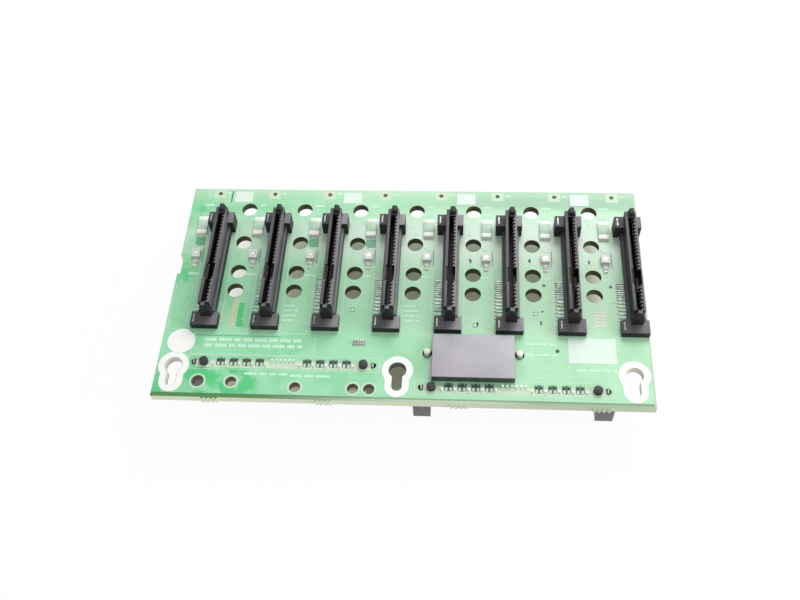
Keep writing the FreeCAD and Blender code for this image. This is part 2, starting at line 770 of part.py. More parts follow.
# A flat chip below the board on four rows of formed leads.
def make_controller():
    chip, leads = new_body("chip_body"), new_body("chip_leads")
    pad_block(chip, "chip_side", "chip_side", "chip_height", z=minus("chip_standoff"), down=True)
    first = f"-{(LEADS_PER_SIDE - 1) / 2} * lead_pitch"
    edge = "chip_side / 2 + lead_reach / 2"
    for sign in (1, -1):
        side_lead = pad_block(leads, "lead_reach", "lead_width", "chip_standoff + lead_gauge",
                              x=f"{sign} * ({edge})", y=first, down=True)
        repeat(leads, side_lead, "Y_Axis", "lead_pitch", LEADS_PER_SIDE)
        end_lead = pad_block(leads, "lead_width", "lead_reach", "chip_standoff + lead_gauge",
                             x=first, y=f"{sign} * ({edge})", down=True)
        repeat(leads, end_lead, "X_Axis", "lead_pitch", LEADS_PER_SIDE)
    return chip, leads


# The same objects at one place in every bay, as one group.
def place_in_bays(label, sources, offset, row, z="0"):
    copies = []
    for bay in range(BAYS):
        copy = doc.addObject("Part::Compound", f"{label}_copy")
        copy.Links = sources
        for axis, text in zip("xyz", (f"{bay_x(bay)} - {offset}", f"socket_setback + {row}", z)):
            copy.setExpression(f"Placement.Base.{axis}", bound(text))
        copies.append(copy)
    place_node(label, copies)


place_node("circuit_board", [make_board()])

socket_form, contact_forms, clip_form = make_drive_socket(), make_socket_contacts(), make_socket_clips()
light_form = make_light_body()
for bay in range(BAYS):
    number = bay + 1
    place_node(f"drive_socket_{number}", [socket_form], bay_x(bay), "socket_setback")
    place_node(f"socket_contacts_{number}", contact_forms, bay_x(bay), "socket_setback")
    place_node(f"socket_clips_{number}", [clip_form], bay_x(bay), "socket_setback")
    place_node(f"status_light_{number}", [light_form], f"{bay_x(bay)} - light_offset",
               "socket_setback + light_row")

place_in_bays("light_lenses", [make_light_lens()], "light_offset", "light_row")
place_in_bays("light_terminals", [make_light_terminals()], "light_offset", "light_row")
fuse_body, fuse_ends = make_chip("fuse", "fuse_width", "fuse_body", "fuse_end", "fuse_height")
place_in_bays("bay_fuses", [fuse_body], "fuse_offset", "fuse_row")
place_in_bays("fuse_ends", [fuse_ends], "fuse_offset", "fuse_row")
resistor_body, resistor_ends = make_chip("resistor", "resistor_width", "resistor_body", "resistor_end",
                                         "resistor_height")
place_in_bays("bay_resistors", [resistor_body], "light_offset", "resistor_row")
place_in_bays("resistor_ends", [resistor_ends], "light_offset", "resistor_row")

array_form = new_body("array_block")
pad_block(array_form, "array_width", "array_length", "array_height")
place_node("resistor_array", [array_form], minus("array_x"), "array_y")

place_node("power_header", [make_power_header()])
place_node("power_pins", [make_power_pins()])
place_node("tail_cover", [make_tail_cover()])
for side in CABLE_SOCKETS:
    place_node(f"cable_socket_{side}", [make_cable_socket(side)])
    place_node(f"cable_contacts_{side}", [make_cable_contacts(side)])
    place_node(f"cable_clips_{side}", [make_cable_clips(side)])

chip_form, lead_form = make_controller()
chip_x = f"{bay_x(BAYS // 2)} - chip_offset"
place_node("controller_chip", [chip_form], chip_x, "chip_y", REAR)
place_node("controller_leads", [lead_form], chip_x, "chip_y", REAR)
capacitor_body, capacitor_ends = make_chip("capacitor", "capacitor_width", "capacitor_body",
                                           "capacitor_end", "capacitor_height", rear=True)
place_in_bays("supply_capacitors", [capacitor_body], "0", "capacitor_row", REAR)
place_in_bays("capacitor_ends", [capacitor_ends], "0", "capacitor_row", REAR)

dot_form = new_body("dot_disc")
dot_sketch = new_sketch(dot_form)
add_circle(dot_sketch, "0", "0", "dot_diameter")
add_pad(dot_form, dot_sketch, "dot_thickness")
place_node("paper_dot", [dot_form], minus("dot_x"), "dot_y")

doc.recompute()
for item in doc.Objects:
    if "Invalid" in item.State or "Error" in item.State:
        raise RuntimeError(f"{item.Label} failed: {item.State}")
for node in nodes:
    if node.Shape.isNull() or not node.Shape.isValid() or not node.Shape.Solids:
        raise RuntimeError(f"{node.Label} has no valid solid")

os.makedirs("parts", exist_ok=True)
for node in nodes:
    node.Shape.exportStep(f"parts/{node.Label}.step")
    print(f"{node.Label}: {len(node.Shape.Solids)} solids, {node.Shape.Volume:.1f} cubic millimetres")
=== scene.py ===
import json
import math
import random

import bmesh
import bpy
from mathutils import Matrix, Quaternion, Vector


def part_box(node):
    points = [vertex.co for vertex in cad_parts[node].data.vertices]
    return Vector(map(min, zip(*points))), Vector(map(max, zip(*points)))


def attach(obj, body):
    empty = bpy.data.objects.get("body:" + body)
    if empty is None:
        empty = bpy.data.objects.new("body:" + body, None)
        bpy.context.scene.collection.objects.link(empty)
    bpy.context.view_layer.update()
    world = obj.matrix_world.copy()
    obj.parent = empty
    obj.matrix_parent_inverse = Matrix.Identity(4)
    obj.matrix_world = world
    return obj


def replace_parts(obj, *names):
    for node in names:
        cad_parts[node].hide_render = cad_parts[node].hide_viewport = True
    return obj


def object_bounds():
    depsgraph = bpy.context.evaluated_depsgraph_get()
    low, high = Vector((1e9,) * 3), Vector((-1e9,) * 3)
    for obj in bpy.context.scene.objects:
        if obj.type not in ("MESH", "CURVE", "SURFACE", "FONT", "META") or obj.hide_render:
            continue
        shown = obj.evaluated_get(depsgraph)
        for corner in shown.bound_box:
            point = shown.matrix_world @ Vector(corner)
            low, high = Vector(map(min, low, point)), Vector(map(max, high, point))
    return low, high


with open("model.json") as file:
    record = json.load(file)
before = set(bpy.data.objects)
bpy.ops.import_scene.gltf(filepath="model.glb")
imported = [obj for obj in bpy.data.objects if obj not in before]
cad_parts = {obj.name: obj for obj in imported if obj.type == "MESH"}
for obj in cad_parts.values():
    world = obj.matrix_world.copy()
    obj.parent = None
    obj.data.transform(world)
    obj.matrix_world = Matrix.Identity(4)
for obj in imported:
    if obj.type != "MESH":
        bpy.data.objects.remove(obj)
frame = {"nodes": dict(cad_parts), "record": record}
cadLow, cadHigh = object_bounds()
scene = bpy.context.scene
scene.view_settings.view_transform = "Standard"
print("frame loaded:", len(frame["nodes"]), "nodes")

bays = range(1, 9)
sides = ("left", "right")


# a node's box in millimetres
def boxMm(node):
    low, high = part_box(node)
    return low * 1000, high * 1000


def middleOf(node):
    low, high = boxMm(node)
    return (low + high) / 2


# places in millimetres, turned into metres
def metres(places):
    return [place / 1000 for place in places]


boardLow, boardHigh = boxMm("circuit_board")
faceZ, rearZ = boardHigh.z, boardLow.z
socketX = {bay: middleOf(f"drive_socket_{bay}").x for bay in bays}
socketLow, socketHigh = boxMm("drive_socket_1")
lightAt = {bay: middleOf(f"status_light_{bay}") for bay in bays}
stubReach = 0.5                       # the breakaway stubs stand this far past the front edge, mm
frontEdge = boardLow.y + stubReach
keyholeX = [mount["pos_m"][0] * 1000 for mount in frame["record"]["mounts"] if "keyhole" in mount["name"]]


# one socket of a material's nodes, so that shader maths reads as plain sums
class Wire:
    def __init__(self, nodes, socket=None):
        self.nodes = nodes
        self.socket = socket

    # any node: its type, its settings first, then the values or links of its sockets
    def add(self, kind, settings=None, inputs=None, output=0):
        node = self.nodes.new("ShaderNode" + kind)
        for key, value in (settings or {}).items():
            setattr(node, key, value)
        for key, value in (inputs or {}).items():
            if isinstance(value, Wire):
                self.nodes.id_data.links.new(value.socket, node.inputs[key])
            else:
                node.inputs[key].default_value = value
        return Wire(self.nodes, node.outputs[output])

    def maths(self, operation, first, second=0.0):
        return self.add("Math", {"operation": operation}, {0: first, 1: second})

    def __add__(self, other):
        return self.maths("ADD", self, other)

    def __sub__(self, other):
        return self.maths("SUBTRACT", self, other)

    def __rsub__(self, other):
        return self.maths("SUBTRACT", other, self)

    def __mul__(self, other):
        return self.maths("MULTIPLY", self, other)

    def __gt__(self, other):
        return self.maths("GREATER_THAN", self, other)

    def __lt__(self, other):
        return self.maths("LESS_THAN", self, other)

    def __abs__(self):
        return self.maths("ABSOLUTE", self)

    __radd__ = __add__
    __rmul__ = __mul__


def least(first, second):
    return first.maths("MINIMUM", first, second)


def most(first, second):
    return first.maths("MAXIMUM", first, second)


# 0 below low, 1 above high, soft between
def rise(wire, low, high):
    settings = {"interpolation_type": "SMOOTHSTEP"}
    return wire.add("MapRange", settings, {"Value": wire, "From Min": low, "From Max": high})


# the same between two places in millimetres
def riseMm(wire, places):
    return rise(wire, *metres(places))


# 1 between the middle two of four places in millimetres, fading to 0 at the outer two
def hump(wire, places):
    start, full, fading, gone = places
    return riseMm(wire, (start, full)) * riseMm(wire, (gone, fading))


# one colour over another by a mask; a plain colour is three numbers
def blended(mask, under, over):
    under, over = [part if isinstance(part, Wire) else (*part, 1.0) for part in (under, over)]
    return mask.add("Mix", {"data_type": "RGBA"}, {0: mask, 6: under, 7: over}, 2)


def shaded(colour, level):
    return [level * part for part in colour]


# cloudy noise with features of about the given size in millimetres
def cloud(place, size, detail=2.0, roughness=0.5):
    inputs = {"Vector": place, "Scale": 1000 / size, "Detail": detail, "Roughness": roughness}
    return place.add("TexNoise", None, inputs)


# bands of the given pitch in millimetres across one axis
def bands(place, axis, pitch, wobble=0.0):
    inputs = {"Vector": place, "Scale": 314 / pitch, "Distortion": wobble}
    return place.add("TexWave", {"bands_direction": axis}, inputs)


# 1 in small scattered spots, 0 elsewhere
def specks(place, size, share):
    return place.add("TexVoronoi", None, {"Vector": place, "Scale": 1000 / size}) < share


def bump(height, strength, depth=0.05):
    return height.add("Bump", None, {"Strength": strength, "Distance": depth / 1000, "Height": height})


def axes(place):
    return [place.add("SeparateXYZ", None, {0: place}, axis) for axis in "XYZ"]


# how far the surface faces along x, y and z
def facing(place):
    return axes(place.add("NewGeometry", output="True Normal"))


# a new surface: fixed values go on the shader's own sockets, and the place of a point comes back
def newSurface(name, fixed=None):
    material = bpy.data.materials.new(name)
    material.use_nodes = True
    shader = material.node_tree.nodes["Principled BSDF"]
    for socketName, value in (fixed or {}).items():
        shader.inputs[socketName].default_value = value
    return material, shader, Wire(material.node_tree.nodes).add("TexCoord", output="Object")


def feed(shader, inputs):
    for socketName, wire in inputs.items():
        shader.id_data.links.new(wire.socket, shader.inputs[socketName])


maskLook = {
    "open": (0.205, 0.590, 0.300),    # mask over bare laminate
    "copper": (0.310, 0.690, 0.415),  # mask over copper
    "window": (0.120, 0.380, 0.200),  # mask over a gap in the copper
    "pair": (0.050, 0.100, 0.062),    # gaps round the signal pairs
    "ink": (0.012, 0.038, 0.021),     # small dark marks
    "vivid": (0.070, 0.540, 0.190),   # thin mask round the tooling holes
    "pale": (0.460, 0.680, 0.470),    # painted sheen: mask painted paler towards the right end and the back
    "haze": (0.700, 0.840, 0.710),    # painted sheen between the sockets
    "cloth": (0.070, 0.300, 0.140),   # glass cloth showing through
    "line": (0.056, 0.204, 0.053), "lineRight": (0.220, 0.310, 0.190),  # line along the front edge
    "rimBare": (0.420, 0.525, 0.385),  # laminate where the mask stops short of the edge
    "backRight": (0.245, 0.450, 0.280),  # back strip, towards the right
    "edge": (0.930, 1.000, 0.790), "edgeRight": (0.650, 0.745, 0.540),  # cut edges painted pale as painted light, left end and right end
    "hole": (0.150, 0.140, 0.085),    # drilled walls, painted dark as painted shade
    "brown": (0.230, 0.150, 0.105),   # drilled walls in the front strip
    "keyWallLit": (0.900, 0.815, 0.740),  # walls of the end keyholes, painted pale as painted light
    # places and widths from here on, mm
    "weave": 0.55, "layer": 0.42,     # pitch of the glass cloth and of the laminate's layers
    "border": 1.25, "borderBare": 0.75, "rightBare": 0.5, "fade": 0.12,
    "vividBox": (-68.5, -9.5, -42.0, -1.5), "vividSoft": (6.0, 2.0),
    "vividSide": (-70.0, 30.0, -66.5, 66.0), "vividSideSoft": (3.0, 2.0),
    "sheenX": (-55.0, 60.0), "sheenBehindX": (-90.0, 50.0), "sheenFront": (10.0, 14.0),
    "sheenBack": (57.5, 61.0), "sheenEdge": (62.5, 65.5), "backRightX": (-15.0, 40.0),
    "hazeX": (-60.0, 0.0), "hazeY": (32.0, 47.0, 49.0, 59.0),
    "lineX": (-45.0, 10.0), "lineBackX": (22.0, 42.0),  # the line pales, then darkens a little again
    "edgeX": (-20.0, 60.0), "cutInset": (1.2, 1.5), "brownY": -2.0,
    "keyBox": (-2.7, -7.0, 2.7, 2.7), "keySoft": (0.1, 0.1),
}


# 1 inside a box given in millimetres, fading over the given widths outside it
def insideBox(x, y, box, softX, softY):
    x0, y0, x1, y1 = metres(box)
    across = 1 - rise(abs(x - (x0 + x1) / 2) - (x1 - x0) / 2, 0.0, softX / 1000)
    along = 1 - rise(abs(y - (y0 + y1) / 2) - (y1 - y0) / 2, 0.0, softY / 1000)
    return across * along


# 1 up to a width in millimetres, then a short fade
def within(inset, width):
    return riseMm(inset, (width + maskLook["fade"], width))


def clothWeave(place):
    return bands(place, "X", maskLook["weave"]) * bands(place, "Y", maskLook["weave"])


# mask over copper and open laminate, then painted sheen towards the right end, the back and between the
# sockets, then the lines along its edges
def maskColour(place, x, y, z, weave):
    look = maskLook
    mottle = cloud(place, 2.0, 4.0)
    pour = rise(cloud(place, 11.0, 3.0), 0.40, 0.56)
    green = blended(pour * 0.7 + mottle * 0.3, look["open"], look["copper"])
    vivid = most(insideBox(x, y, look["vividBox"], *look["vividSoft"]),
                 insideBox(x, y, look["vividSide"], *look["vividSideSoft"]) * 0.8)
    green = blended(vivid * rise(cloud(place, 5.0, 3.0), 0.40, 0.60), green, look["vivid"])
    driveFace = z > (faceZ + rearZ) / 2000
    # painted sheen: the drive face is painted paler towards the right end and the back
    front = riseMm(x, look["sheenX"]) * 0.7
    right = (front + (riseMm(x, look["sheenBehindX"]) - front) * riseMm(y, look["sheenFront"])) * 0.75
    back, backEdge = riseMm(y, look["sheenBack"]), riseMm(y, look["sheenEdge"])
    sheen = most(right * (1 - back * 0.4), (back + backEdge) * 0.45)
    green = blended(sheen * (mottle * 0.5 + 0.65) * driveFace, green, look["pale"])
    strip = back * riseMm(x, look["backRightX"]) * (1 - backEdge * 0.35)
    green = blended(strip * driveFace, green, look["backRight"])
    # painted sheen: paler between the sockets towards the back
    haze = hump(y, look["hazeY"]) * (riseMm(x, look["hazeX"]) * 0.4 + 0.45)
    green = blended(haze * (mottle * 0.4 + 0.8) * driveFace, green, look["haze"])
    green = blended(weave * 0.10, green, look["cloth"])
    inset, rightInset = y - frontEdge / 1000, boardHigh.x / 1000 - x
    paler = riseMm(x, look["lineX"]) * (1 - riseMm(x, look["lineBackX"]) * 0.55)
    line = blended(paler, look["line"], look["lineRight"])
    green = blended(within(inset, look["border"]), green, line)
    rim = most(within(inset, look["borderBare"]) * paler, within(rightInset, look["rightBare"]))
    return blended(rim, green, look["rimBare"])


# bare laminate where the board is cut: outer edges painted pale as painted light, drilled walls painted
# darker as painted shade, walls of the end keyholes painted pale as painted light
def cutColour(place, x, y):
    look = maskLook
    layers = bands(place, "Z", look["layer"]) * 0.10 + cloud(place, 0.25, 3.0) * 0.16
    edge = blended(riseMm(x, look["edgeX"]), look["edge"], look["edgeRight"])
    edge = blended(layers, edge, look["hole"])
    hole = blended(y < look["brownY"] / 1000, look["hole"], look["brown"])
    hole = blended(layers * 2.0, hole, shaded(look["hole"], 0.6))
    x0, y0, x1, y1 = look["keyBox"]
    for keyX in (keyholeX[0], keyholeX[2]):
        near = insideBox(x, y, (keyX + x0, y0, keyX + x1, y1), *look["keySoft"])
        hole = blended(near * (layers + 0.7), hole, look["keyWallLit"])
    outer = least(least(x - boardLow.x / 1000, y - frontEdge / 1000),
                  least(boardHigh.x / 1000 - x, boardHigh.y / 1000 - y))
    return blended(riseMm(outer, look["cutInset"]), edge, hole)


# the board: solder mask over copper and glass cloth, bare laminate on its cut sides
def boardSurface():
    material, shader, place = newSurface("boardMask")
    x, y, z = axes(place)
    weave = clothWeave(place)
    side = abs(facing(place)[2]) < 0.5
    feed(shader, {
        "Base Color": blended(side, maskColour(place, x, y, z, weave), cutColour(place, x, y)),
        "Roughness": side * 0.4 + cloud(place, 1.4, 3.0) * 0.16 + 0.29,
        "Normal": bump(weave * 0.3 + cloud(place, 1.1) * 0.6, 0.2),
    })
    return material


# mask over a ridge of copper, or over a window with no copper below
def maskSurface(name, colour):
    material, shader, place = newSurface(name)
    weave = clothWeave(place)
    mottle = cloud(place, 1.6, 4.0)
    feed(shader, {
        "Base Color": blended(mottle * 0.7 + weave * 0.2, shaded(colour, 1.12), shaded(colour, 0.82)),
        "Roughness": cloud(place, 0.8, 3.0) * 0.16 + 0.30,
        "Normal": bump(weave * 0.3 + cloud(place, 0.6) * 0.6, 0.2),
    })
    return material


mouldLook = {
    "header": {"colour": (0.735, 0.750, 0.635), "pale": (0.820, 0.835, 0.735), "rough": 0.40, "shine": 0.50},
    "chip": {"colour": (0.022, 0.022, 0.025), "pale": (0.050, 0.050, 0.054), "rough": 0.55, "shine": 0.45},
    "resistor": {"colour": (0.380, 0.430, 0.370), "pale": (0.480, 0.540, 0.470),
                 "rough": 0.36, "shine": 0.50},
    "fuse": {"colour": (0.430, 0.640, 0.480), "pale": (0.520, 0.710, 0.560), "rough": 0.40, "shine": 0.45},
    "chipEnd": {"colour": (0.820, 0.870, 0.770), "pale": (0.890, 0.910, 0.830), "rough": 0.36, "shine": 0.60},
    "lightCup": {"colour": (0.720, 0.730, 0.690), "pale": (0.800, 0.800, 0.770),
                 "rough": 0.45, "shine": 0.45},
}
dustLook = {"colour": (0.420, 0.410, 0.400), "size": 0.9, "share": 0.075, "strength": 0.3}


# moulded plastic: cloudy flow marks, a fine spark-eroded grain and a little pale dust
def mouldSurface(name, tint=None):
    look = mouldLook[name]
    material, shader, place = newSurface(name + "Moulding", {"Specular IOR Level": look["shine"]})
    flow = cloud(place, 5.0, 4.0, 0.6)
    grain = cloud(place, 0.22, 3.0, 0.6)
    colour = blended(rise(flow, 0.35, 0.75), look["colour"], look["pale"])
    if tint is not None:
        colour = tint(place, colour)
    dust = specks(place, dustLook["size"], dustLook["share"]) * rise(cloud(place, 7.0), 0.45, 0.6)
    feed(shader, {
        "Base Color": blended(dust * dustLook["strength"], colour, dustLook["colour"]),
        "Roughness": flow * 0.14 + grain * 0.10 + dust * 0.2 + (look["rough"] - 0.10),
        "Normal": bump(grain * 0.7 + flow * 0.3, 0.16),
    })
    return material


mouldLook["socket"] = {
    "colour": (0.013, 0.012, 0.014), "pale": (0.021, 0.019, 0.022), "rough": 0.46, "shine": 0.27,
    "top": (0.066, 0.066, 0.070), "rightTop": (0.150, 0.146, 0.156),  # painted highlight on the upper faces, left to right
    "flank": (0.112, 0.106, 0.118),                                   # painted highlight on the right sides of the walls
    "dusty": (0.235, 0.240, 0.245), "highlightMiddleX": (-40.0, -8.0, 36.0, 54.0),  # brighter painted highlight on the middle sockets
    "topX": (-2.0, 3.0), "tips": (8.8, 8.5), "flankX": 1.9, "flankZ": (1.5, 6.0),
    # painted shade in the slots
    "inside": (0.011, 0.010, 0.011), "insideX": (-0.9, 1.15), "insideY": (4.5, -2.4), "insideTop": 7.35,
}


# upper faces and right sides of the sockets are painted grey as painted highlight, brightest on the middle
# sockets; the slots are painted darker as painted shade, and the tips stay black
def socketTint(place, colour):
    look = mouldLook["socket"]
    x, y, z = axes(place)
    outward = facing(place)
    pitch = (socketX[2] - socketX[1]) / 1000
    offset = place.maths("MODULO", x - (socketX[1] / 1000 - pitch / 2), pitch) - pitch / 2
    middle = hump(x, look["highlightMiddleX"])
    rightTop = blended(middle, look["rightTop"], look["dusty"])
    topHighlight = blended(riseMm(offset, look["topX"]), look["top"], rightTop)
    upper = rise(outward[2], 0.55, 0.90) * riseMm(z, look["tips"])
    colour = blended(upper * (cloud(place, 3.0, 4.0) * 0.5 + 0.72), colour, topHighlight)
    y0, y1 = metres((socketLow.y + look["insideY"][0], socketHigh.y + look["insideY"][1]))
    between = (y > y0) * (y < y1)
    right = rise(outward[0], 0.5, 0.9) * (offset > look["flankX"] / 1000)
    flank = blended(middle * 0.6, look["flank"], look["dusty"])
    colour = blended(right * between * riseMm(z, look["flankZ"]), colour, flank)
    # painted shade: the slots are painted darker
    x0, x1 = metres(look["insideX"])
    inside = (offset > x0) * (offset < x1) * between * (z < look["insideTop"] / 1000)
    return blended(inside, colour, look["inside"])


mouldLook["array"] = {
    "colour": (0.170, 0.205, 0.170), "pale": (0.250, 0.290, 0.245), "rough": 0.36, "shine": 0.50,
    "stripe": (0.500, 0.550, 0.480), "terminals": 4, "pitch": 0.8, "stripeHalf": 0.2, "plainHalf": 0.35,
}


# the resistor array's terminals show as pale stripes across its long sides
def arrayTint(place, colour):
    look = mouldLook["array"]
    x, y = axes(place)[:2]
    middle = middleOf("resistor_array")
    pitch = look["pitch"] / 1000
    offset = place.maths("MODULO", x - (middle.x / 1000 - 10 * pitch), pitch) - pitch / 2
    stripe = abs(offset) < look["stripeHalf"] / 1000
    return blended(stripe * (abs(y - middle.y / 1000) > look["plainHalf"] / 1000), colour, look["stripe"])


mouldLook["cable"] = {
    "colour": (0.020, 0.020, 0.022), "pale": (0.034, 0.034, 0.036), "rough": 0.45, "shine": 0.35,
    # painted light below the board
    "low": (0.145, 0.146, 0.142),
}


# painted light: the cable sockets' plastic is painted lighter below the board
def cableTint(place, colour):
    return blended(riseMm(axes(place)[2], (faceZ, rearZ)), colour, mouldLook["cable"]["low"])


coverLook = {"top": (0.350, 0.330, 0.375), "worn": (0.430, 0.410, 0.440), "side": (0.040, 0.060, 0.046)}


# black cover faced on top with a grey sheet, faintly clouded
def coverSurface():
    material, shader, place = newSurface("coverSheet")
    haze = cloud(place, 11.0, 3.0)
    top = blended(rise(haze, 0.32, 0.68), coverLook["top"], coverLook["worn"])
    grain = cloud(place, 0.18, 3.0)
    feed(shader, {
        "Base Color": blended(rise(facing(place)[2], 0.80, 0.95), coverLook["side"], top),
        "Roughness": haze * 0.12 + grain * 0.1 + 0.36,
        "Normal": bump(grain * 0.8 + haze * 0.2, 0.12),
    })
    return material


metalLook = {
    "tin": (0.860, 0.865, 0.850), "dullTin": (0.640, 0.650, 0.640),
    "solder": (0.400, 0.460, 0.410), "dullSolder": (0.260, 0.320, 0.270),
    "steel": (0.300, 0.300, 0.295), "dullSteel": (0.180, 0.180, 0.175),
    # painted shade: dark plate for the signal pairs' tails and their solder
    "dark": (0.160, 0.180, 0.155), "dullDark": (0.100, 0.115, 0.098),
    "gold": (0.790, 0.670, 0.470), "dullGold": (0.510, 0.440, 0.330),
    "rough": {"tin": 0.28, "solder": 0.44, "steel": 0.46, "dark": 0.5},
    "goldAbove": 1.2, "goldBelow": (1.2, 1.5),  # contacts are gold this far from the two faces, mm
    "darkSoft": (0.05, 0.05),
}


# plate with dull clouds and fine rolling lines; a contact is gold away from the board, and painted dark in
# the boxes as painted shade
def metalSurface(name, base="tin", gold=False, shadedBoxes=()):
    look = metalLook
    material, shader, place = newSurface(name, {"Metallic": 1.0})
    tarnish = rise(cloud(place, 1.6, 4.0, 0.6), 0.40, 0.72)
    lines = bands(place, "Z", 0.12, 3.0)
    colour = blended(tarnish, look[base], look["dull" + base.capitalize()])
    if gold:
        x, y, z = axes(place)
        for box in shadedBoxes:
            colour = blended(insideBox(x, y, box, *look["darkSoft"]), colour, look["dark"])
        above = z > (faceZ + look["goldAbove"]) / 1000
        below = riseMm(z, [rearZ - depth for depth in look["goldBelow"]])
        colour = blended(most(above, below), colour, blended(tarnish, look["gold"], look["dullGold"]))
    feed(shader, {
        "Base Color": colour,
        "Roughness": tarnish * 0.2 + lines * 0.06 + look["rough"][base],
        "Normal": bump(cloud(place, 0.35, 3.0) * 0.7 + lines * 0.2, 0.14),
    })
    return material


cableLook = {
    "left": middleOf("cable_socket_left").to_2d(), "right": middleOf("cable_socket_right").to_2d(),
    "pairs": 4, "pairStart": 6.9, "pairPitch": 3.81, "pairHalf": 0.635, "pairBand": (0.2, 1.2),
    "sideband": 6, "pitch": 1.27, "row": 0.7, "tail": 0.225, "tailGap": 0.06, "pad": 0.42,
}


# places of one cable socket's signal pairs, of their tails, and of its ground and sideband tails
def cableTails(side):
    x, y = cableLook[side]
    start, pitch, count = cableLook["pairStart"], cableLook["pairPitch"], cableLook["pairs"]
    half, row, sideband = cableLook["pairHalf"], cableLook["row"], cableLook["sideband"]
    pairs = [x + sign * (start + pitch * i) for sign in (-1, 1) for i in range(count)]
    others = []
    for sign in (-1, 1):
        first = x + sign * (start - pitch / 2)
        others += [(first + sign * pitch * i, y - row) for i in range(count + 1)]
    others += [(x + (i - (sideband - 1) / 2) * cableLook["pitch"], y + row) for i in range(sideband)]
    pairTails = [(pair + step * half, y + row) for pair in pairs for step in (-1, 1)]
    return {"pairs": pairs, "pairTails": pairTails, "otherTails": others}


# where the signal pairs' tails stand on the drive face
def pairBoxes():
    boxes = []
    first = cableLook["pairStart"] - cableLook["pairPitch"] / 2
    last = first + cableLook["pairs"] * cableLook["pairPitch"]
    for side in sides:
        x, y = cableLook[side]
        y0, y1 = [y + edge for edge in cableLook["pairBand"]]
        boxes += [(x + first, y0, x + last, y1), (x - last, y0, x - first, y1)]
    return boxes


# screen ink, pad plating or bare laminate: one colour breaking up into another in thin spots
patchLook = {
    "screenInk": {"full": (0.670, 0.800, 0.715), "thin": (0.500, 0.740, 0.590), "share": 0.5, "rough": 0.50},
    "wordInk": {"full": (0.560, 0.850, 0.660), "thin": (0.440, 0.770, 0.540), "share": 0.6, "rough": 0.50},
    "padTin": {"full": (0.880, 0.885, 0.860), "thin": (0.740, 0.745, 0.710), "share": 0.8, "rough": 0.34},
    "ringTin": {"full": (0.520, 0.720, 0.570), "thin": (0.400, 0.620, 0.450), "share": 0.8, "rough": 0.42},
    "bareStrip": {"full": (0.560, 0.600, 0.370), "thin": (0.420, 0.560, 0.330), "share": 0.7, "rough": 0.60},
    "chalkStrip": {"full": (0.560, 0.690, 0.520), "thin": (0.460, 0.660, 0.480), "share": 0.8, "rough": 0.55},
    "oliveInk": {"full": (0.050, 0.075, 0.036), "thin": (0.090, 0.125, 0.060), "share": 0.7, "rough": 0.55},
    "pinkInk": {"full": (0.760, 0.720, 0.640), "thin": (0.560, 0.720, 0.560), "share": 0.9, "rough": 0.55},
}


def patchSurface(name):
    look = patchLook[name]
    material, shader, place = newSurface(name)
    thin = rise(cloud(place, 0.6, 4.0, 0.65), 0.48, 0.78)
    fine = cloud(place, 0.12, 2.0)
    feed(shader, {
        "Base Color": blended(thin * look["share"], look["full"], look["thin"]),
        "Roughness": thin * 0.2 + fine * 0.1 + look["rough"],
        "Normal": bump(fine * 0.5 + thin * 0.5, 0.15),
    })
    return material


paperLook = {"sheet": (0.900, 0.900, 0.880), "fibre": (0.790, 0.785, 0.755), "fibreScale": 4200.0}


# uncoated paper: short fibres and a faintly grubby patch
def paperSurface():
    material, shader, place = newSurface("dotPaper", {"Roughness": 0.85, "Specular IOR Level": 0.25})
    inputs = {"Vector": place, "Scale": paperLook["fibreScale"], "Detail": 5.0, "Distortion": 1.5}
    fibre = place.add("TexNoise", None, inputs)
    grub = rise(cloud(place, 3.0, 4.0), 0.5, 0.9)
    shade = rise(fibre, 0.45, 0.8) * 0.5 + grub * 0.3
    feed(shader, {
        "Base Color": blended(shade, paperLook["sheet"], paperLook["fibre"]),
        "Normal": bump(fibre, 0.3),
    })
    return material


lensLook = {
    "clear": (0.840, 0.850, 0.810), "heart": (0.900, 0.900, 0.850), "line": (0.210, 0.165, 0.165),
    "lineFrom": 0.62, "lineTo": 0.86,  # distances from the middle of a light, mm
}


# greatest of the distances along x and y to the nearest light
def fromLight(place):
    x, y = axes(place)[:2]
    nearest = None
    for middle in lightAt.values():
        reach = most(abs(x - middle.x / 1000), abs(y - middle.y / 1000))
        nearest = reach if nearest is None else least(nearest, reach)
    return nearest


# a dull pinkish square round the middle of each light
def lightTint(place, colour):
    reach = fromLight(place)
    start, stop = metres((lensLook["lineFrom"], lensLook["lineTo"]))
    line = rise(reach, start, start * 1.15) * rise(reach, stop, stop * 0.87)
    return blended(line, colour, lensLook["line"])


# cast lens: pale and glossy, whiter over the chip in the middle of each light
def lensSurface():
    material, shader, place = newSurface("lensCasting", {"Coat Weight": 0.4, "Coat Roughness": 0.08})
    start = lensLook["lineFrom"] / 1000
    heart = rise(fromLight(place), start, start * 0.4)
    feed(shader, {
        "Base Color": lightTint(place, blended(heart, lensLook["clear"], lensLook["heart"])),
        "Roughness": cloud(place, 0.6) * 0.12 + 0.10,
        "Normal": bump(cloud(place, 0.9), 0.08),
    })
    return material


capacitorLook = {
    "body": (0.520, 0.300, 0.060), "pale": (0.620, 0.390, 0.100), "band": (0.300, 0.140, 0.030),
    "bandWidth": 1.3, "bandDepth": 0.2,
}


# ochre moulding with a plain darker band at its positive end
def capacitorSurface():
    material, shader, place = newSurface("capacitorMoulding")
    y, z = axes(place)[1:]
    low, high = boxMm("supply_capacitors")
    bandY, bandZ = metres((high.y - capacitorLook["bandWidth"], low.z + capacitorLook["bandDepth"]))
    flow = cloud(place, 2.0, 3.0)
    colour = blended(flow, capacitorLook["body"], capacitorLook["pale"])
    feed(shader, {
        "Base Color": blended((y > bandY) * (z < bandZ), colour, capacitorLook["band"]),
        "Roughness": flow * 0.15 + 0.35,
        "Normal": bump(cloud(place, 0.2, 3.0), 0.2),
    })
    return material


